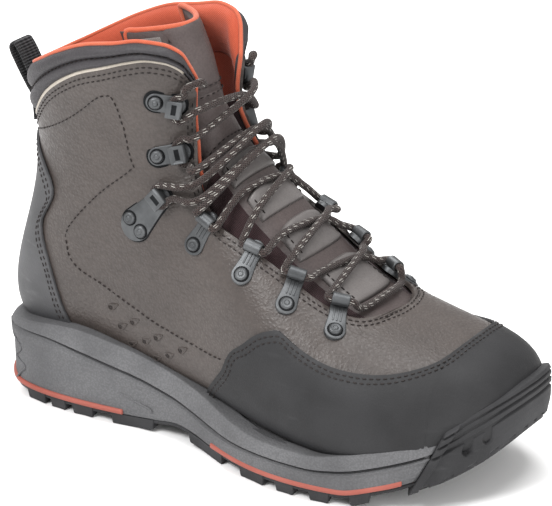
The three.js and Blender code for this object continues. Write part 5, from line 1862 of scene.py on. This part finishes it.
def lace_places(side):
    """One half of the lace, from the bar at the toe to its end at the top hook."""
    points = []
    for i, row in enumerate(LACING):
        here = side if i % 2 == 0 else -side
        points += through_holder(row, here)
        if i + 1 < len(LACING):
            points += crossing_places(i, here, (i % 2 == 0) == (side < 0))
    return points + lace_end(side if len(LACING) % 2 else -side)


def make_lace():
    turns = ((0.08, -LACE_SPREAD), (0, 0), (0.08, LACE_SPREAD))
    bar = [lace_on_tongue(BAR_AT + back, share, 0) for back, share in turns]
    places = lace_places(-1)[::-1] + bar + lace_places(1)
    held = ["lace_bar"] + [f"lace_crossing_{i}" for i in range(1, len(LACING))]
    cord_piece("lace", [(smooth_path(places, 1.25), LACE / 2, 12)], LACE_FINISH, held)


PULL_LINE = table("behind rise", [
    (-0.04, -0.3), (-0.02, 0.1), (0.1, 0.33), (0.2, 0.55), (0.33, 0.8), (0.41, 0.92), (0.46, 0.965),
    (0.52, 0.93), (0.535, 0.87), (0.5, 0.77), (0.37, 0.53), (0.22, 0.28), (0.12, 0.1), (0.09, -0.3),
])
WEBBING = 1.9


def swell(wave, power):
    """A wave with flatter tops, for the section of a band."""
    return np.sign(wave) * np.abs(wave) ** power


def make_pull_loop():
    """A flat band of webbing that lies in the boot's middle plane."""
    foot = on_last(LOOP_FOOT, -1, GAP)
    places = [(foot[0] - r["behind"] * LOOP_RISE, 0, foot[2] + r["rise"] * LOOP_RISE) for r in PULL_LINE]
    points = smooth_path(places, 1.0)
    run = run_along(points)
    out = np.column_stack([run[:, 2], np.zeros(len(run)), -run[:, 0]])
    rows = len(points) - 1

    def place(u, v, offset):
        i = np.round(v * rows).astype(int)
        angle = u * 2 * np.pi
        flank = swell(np.cos(angle), 0.35) * (LOOP_BAND / 2 + offset)
        thick = swell(np.sin(angle), 0.55) * (WEBBING / 2 + offset)
        return points[i] + flank[:, None] * np.array([0, 1.0, 0]) + out[i] * thick[:, None]

    bm = bmesh.new()
    curved_grid(bm, 20, rows, place, (2 * LOOP_BAND, float(length_along(points)[-1])))
    close_solid(bm)
    finish_piece("pull_webbing", bm, WEBBING_FINISH, ["pull_loop"])


make_lace()
make_pull_loop()


# Stitches and small holes
STITCH_SPACING = 3.4
STITCH = (1.25, 0.42, 0.42)  # half sizes along, across and out
CHART_ALONG, CHART_ACROSS = 17, 115  # millimetres for a section and for the way once across, on average
COLLAR_SHARES = np.linspace(0.03, 1, 120)
def spaced(face, a, b, spacing):
    """Even places along a line on a face, with the directions along it and out of it."""
    length = length_along(face(a, b))
    at = np.arange(spacing / 2, length[-1], spacing)
    here, ahead, behind = (
        face(np.interp(at + step, length, a), np.interp(at + step, length, b)) for step in (0, 0.5, -0.5)
    )
    return here, unit(ahead - behind), normal_of(face, np.interp(at, length, a), np.interp(at, length, b))


def beside(t, v, distance):
    """A line on the leather moved sideways by some millimetres."""
    long = np.linalg.norm(surface(t + STEP, v) - surface(t - STEP, v), axis=-1) / (2 * STEP)
    wide = np.linalg.norm(surface(t, v + STEP) - surface(t, v - STEP), axis=-1) / (2 * STEP)
    run_t, run_v = np.gradient(t) * long, np.gradient(v) * wide
    run = np.maximum(np.hypot(run_t, run_v), 1e-9)
    return t - distance * run_v / run / long, v + distance * run_t / run / wide


def bead(bm, point, axes, sizes, lift, finer=1):
    """A small rounded body on a face: its axes run along, across and out."""
    x, y, z = (axis * size * MM for axis, size in zip(axes, sizes))
    matrix = matrix_of(x, y, z, (point + axes[2] * lift) * MM)
    bmesh.ops.create_icosphere(bm, subdivisions=finer, radius=1, matrix=matrix)


def sewn_piece(name, rows):
    """Rows of stitches, each a short rounded length of thread. A row is a face, a line on it and a lift."""
    bm = bmesh.new()
    for face, a, b, lift in rows:
        for point, run, out in zip(*spaced(face, a, b, STITCH_SPACING)):
            bead(bm, point, (run, np.cross(out, run), out), STITCH, lift)
    finish_piece(name, bm, DARK_THREAD_AND_HOLE_SHADE)


def collar_chart(line, side, drop):
    """Places along a line of the collar on one side, moved down by some millimetres."""
    t = np.interp(COLLAR_SHARES, PROBES, top_table(line, side, drop))
    return t, throat_share(side, COLLAR_SHARES, t)


def on_chart(points, spacing):
    """Even places of section and share through a few of them."""
    scale = np.array([CHART_ALONG, CHART_ACROSS])
    line = smooth_path(np.asarray(points, float) * scale, spacing) / scale
    return line[:, 0], line[:, 1]


def throat_chart():
    """The throat's edge, down its lateral side, round its foot and up its medial side."""
    halves = []
    for side in SIDES.values():
        t = np.linspace(4.41, LEATHER_END[side][0] - 0.4, 60)
        halves.append(np.column_stack([t, side * through(THROAT, "half", t)]))
    return on_chart(np.vstack([halves[0][::-1], halves[1][1:]]), 1.5)


def leather_rows():
    rows = [(leather_face, *beside(*throat_chart(), shift), 0.15) for shift in (2.4, 5.0)]
    for side in SIDES.values():
        rows.append((leather_face, *quarter_line(side), 0.3))
        rows += [(leather_face, *collar_chart(LEATHER_TOP, side, drop), 0.15) for drop in (3.2, 6.0)]
    return rows


def edge_rows(line_of, shifts, lift):
    """Rows beside an edge on both sides of the boot."""
    return [
        (surface, *beside(*line_of(side), side * shift), lift) for side in SIDES.values() for shift in shifts
    ]


def rand_line(side):
    return on_chart([(r["at"], side * r["half"]) for r in RAND_TOP[:-1]], 1.0)


def counter_line(side):
    return COUNTER_SECTIONS[6:], side * COUNTER_SHARES[side][6:]


def cuff_rows():
    rows = []
    for side in SIDES.values():
        leather, top = (np.interp(COLLAR_SHARES, PROBES, ends[side]) for ends in (LEATHER_END, CUFF_END))
        t = leather + (top - leather) * 0.5
        rows.append((surface, t, throat_share(side, COLLAR_SHARES, t), 0.35))
    return rows


def tongue_rows():
    share = np.linspace(-0.56, 0.56, 60)
    t = np.linspace(9.6, 15.8, 100)
    rows = [(tongue_face, at + SEAM_SLANT * share, share, 0.9) for at in (9.22, 9.76, 11.98, 12.46)]
    return rows + [(tongue_face, t, np.full(100, side * 0.57), 0.5) for side in SIDES.values()]


def panel_rows():
    rows = []
    for panel in PANELS:
        t = np.linspace(panel["from"] + 0.06, panel["to"] - 0.06, 40)
        half = panel["half"] / through(TONGUE, "half", t)
        rows += [(tongue_face, t, side * half * 0.8, 1.95) for side in SIDES.values()]
    return rows


VENT_RISE = np.array([0.86, 0.0, 0.5])  # the way in which a vent's drop runs out
VENT_REACH = 5.6
VENT_RADIUS = 1.7


def make_vents():
    """Small punched holes, each at the wide end of a pressed drop; each hole is a dark disc, painted shade
    inside it.
    """
    rims, holes = bmesh.new(), bmesh.new()
    angles = np.linspace(0, 2 * np.pi, 28, endpoint=False)
    ahead = np.cos(angles) > 0
    long = np.where(ahead, VENT_REACH, VENT_RADIUS) * np.cos(angles)
    wide = VENT_RADIUS * np.sin(angles) * np.where(ahead, 1 - 0.75 * np.cos(angles) ** 2, 1)
    for side in SIDES.values():
        for t, v in VENTS:
            place = np.array([t]), np.array([side * v])
            centre, out = leather_face(*place)[0], normal_of(surface, *place)[0]
            run = unit(VENT_RISE - out * np.dot(out, VENT_RISE))
            across = np.cross(out, run)
            drop = centre + np.outer(long, run) + np.outer(wide, across) + out * 0.12
            tube(rims, drop, 0.36, 6, closed=True)
            # A dark disc for each hole: painted shade inside it
            bead(holes, centre, (run, across, out), (1.15, 0.95, 0.2), 0.14, 2)
    weld(rims, 0.01)
    finish_piece("vent_rims", rims, LEATHER_FINISH)
    finish_piece("vent_holes", holes, DARK_THREAD_AND_HOLE_SHADE)


sewn_piece("leather_stitches", leather_rows())
sewn_piece("rand_stitches", edge_rows(rand_line, (2.2, 4.6), OVERLAY + GAP + 0.12))
sewn_piece("counter_stitches", edge_rows(counter_line, (2.4, 5.0), OVERLAY + GAP + 0.1))
sewn_piece("cuff_stitches", cuff_rows())
sewn_piece("tongue_stitches", tongue_rows())
sewn_piece("panel_stitches", panel_rows())
make_vents()


# Floor and light
FLOOR_HALF = 4  # metres
WORLD_LIGHT = 0.72
LIGHT_AIM = (0.1, 0, 0.09)
LIGHTS = [  # name, place in metres, width and power
    ("key", (-0.35, -1.3, 1.5), 0.8, 34), ("top", (0.35, 0.1, 1.7), 1.0, 20),
    ("rim", (-0.9, 0.9, 0.9), 0.7, 12), ("front", (1.3, -0.6, 0.5), 0.8, 7),
]


def make_stage():
    bm = bmesh.new()
    bmesh.ops.create_grid(bm, x_segments=1, y_segments=1, size=FLOOR_HALF)
    mesh = bpy.data.meshes.new("floor")
    bm.to_mesh(mesh)
    bm.free()
    mesh.materials.append(floor_finish("floor"))
    floor = bpy.data.objects.new("floor", mesh)
    bpy.context.scene.collection.objects.link(floor)


def area_light(name, place, size, power):
    data = bpy.data.lights.new(name, "AREA")
    data.shape = "DISK"
    data.size = size
    data.energy = power
    light = bpy.data.objects.new(name, data)
    direction = Vector(LIGHT_AIM) - Vector(place)
    light.rotation_mode = "QUATERNION"
    light.rotation_quaternion = direction.to_track_quat("-Z", "Y")
    light.location = place
    bpy.context.scene.collection.objects.link(light)


def make_light():
    world = bpy.data.worlds.new("studio")
    world.use_nodes = True
    background = world.node_tree.nodes["Background"]
    background.inputs["Color"].default_value = (1.0, 0.99, 0.98, 1)
    background.inputs["Strength"].default_value = WORLD_LIGHT
    bpy.context.scene.world = world
    for light in LIGHTS:
        area_light(*light)


make_stage()
make_light()
bpy.context.scene.view_settings.view_transform = "Standard"
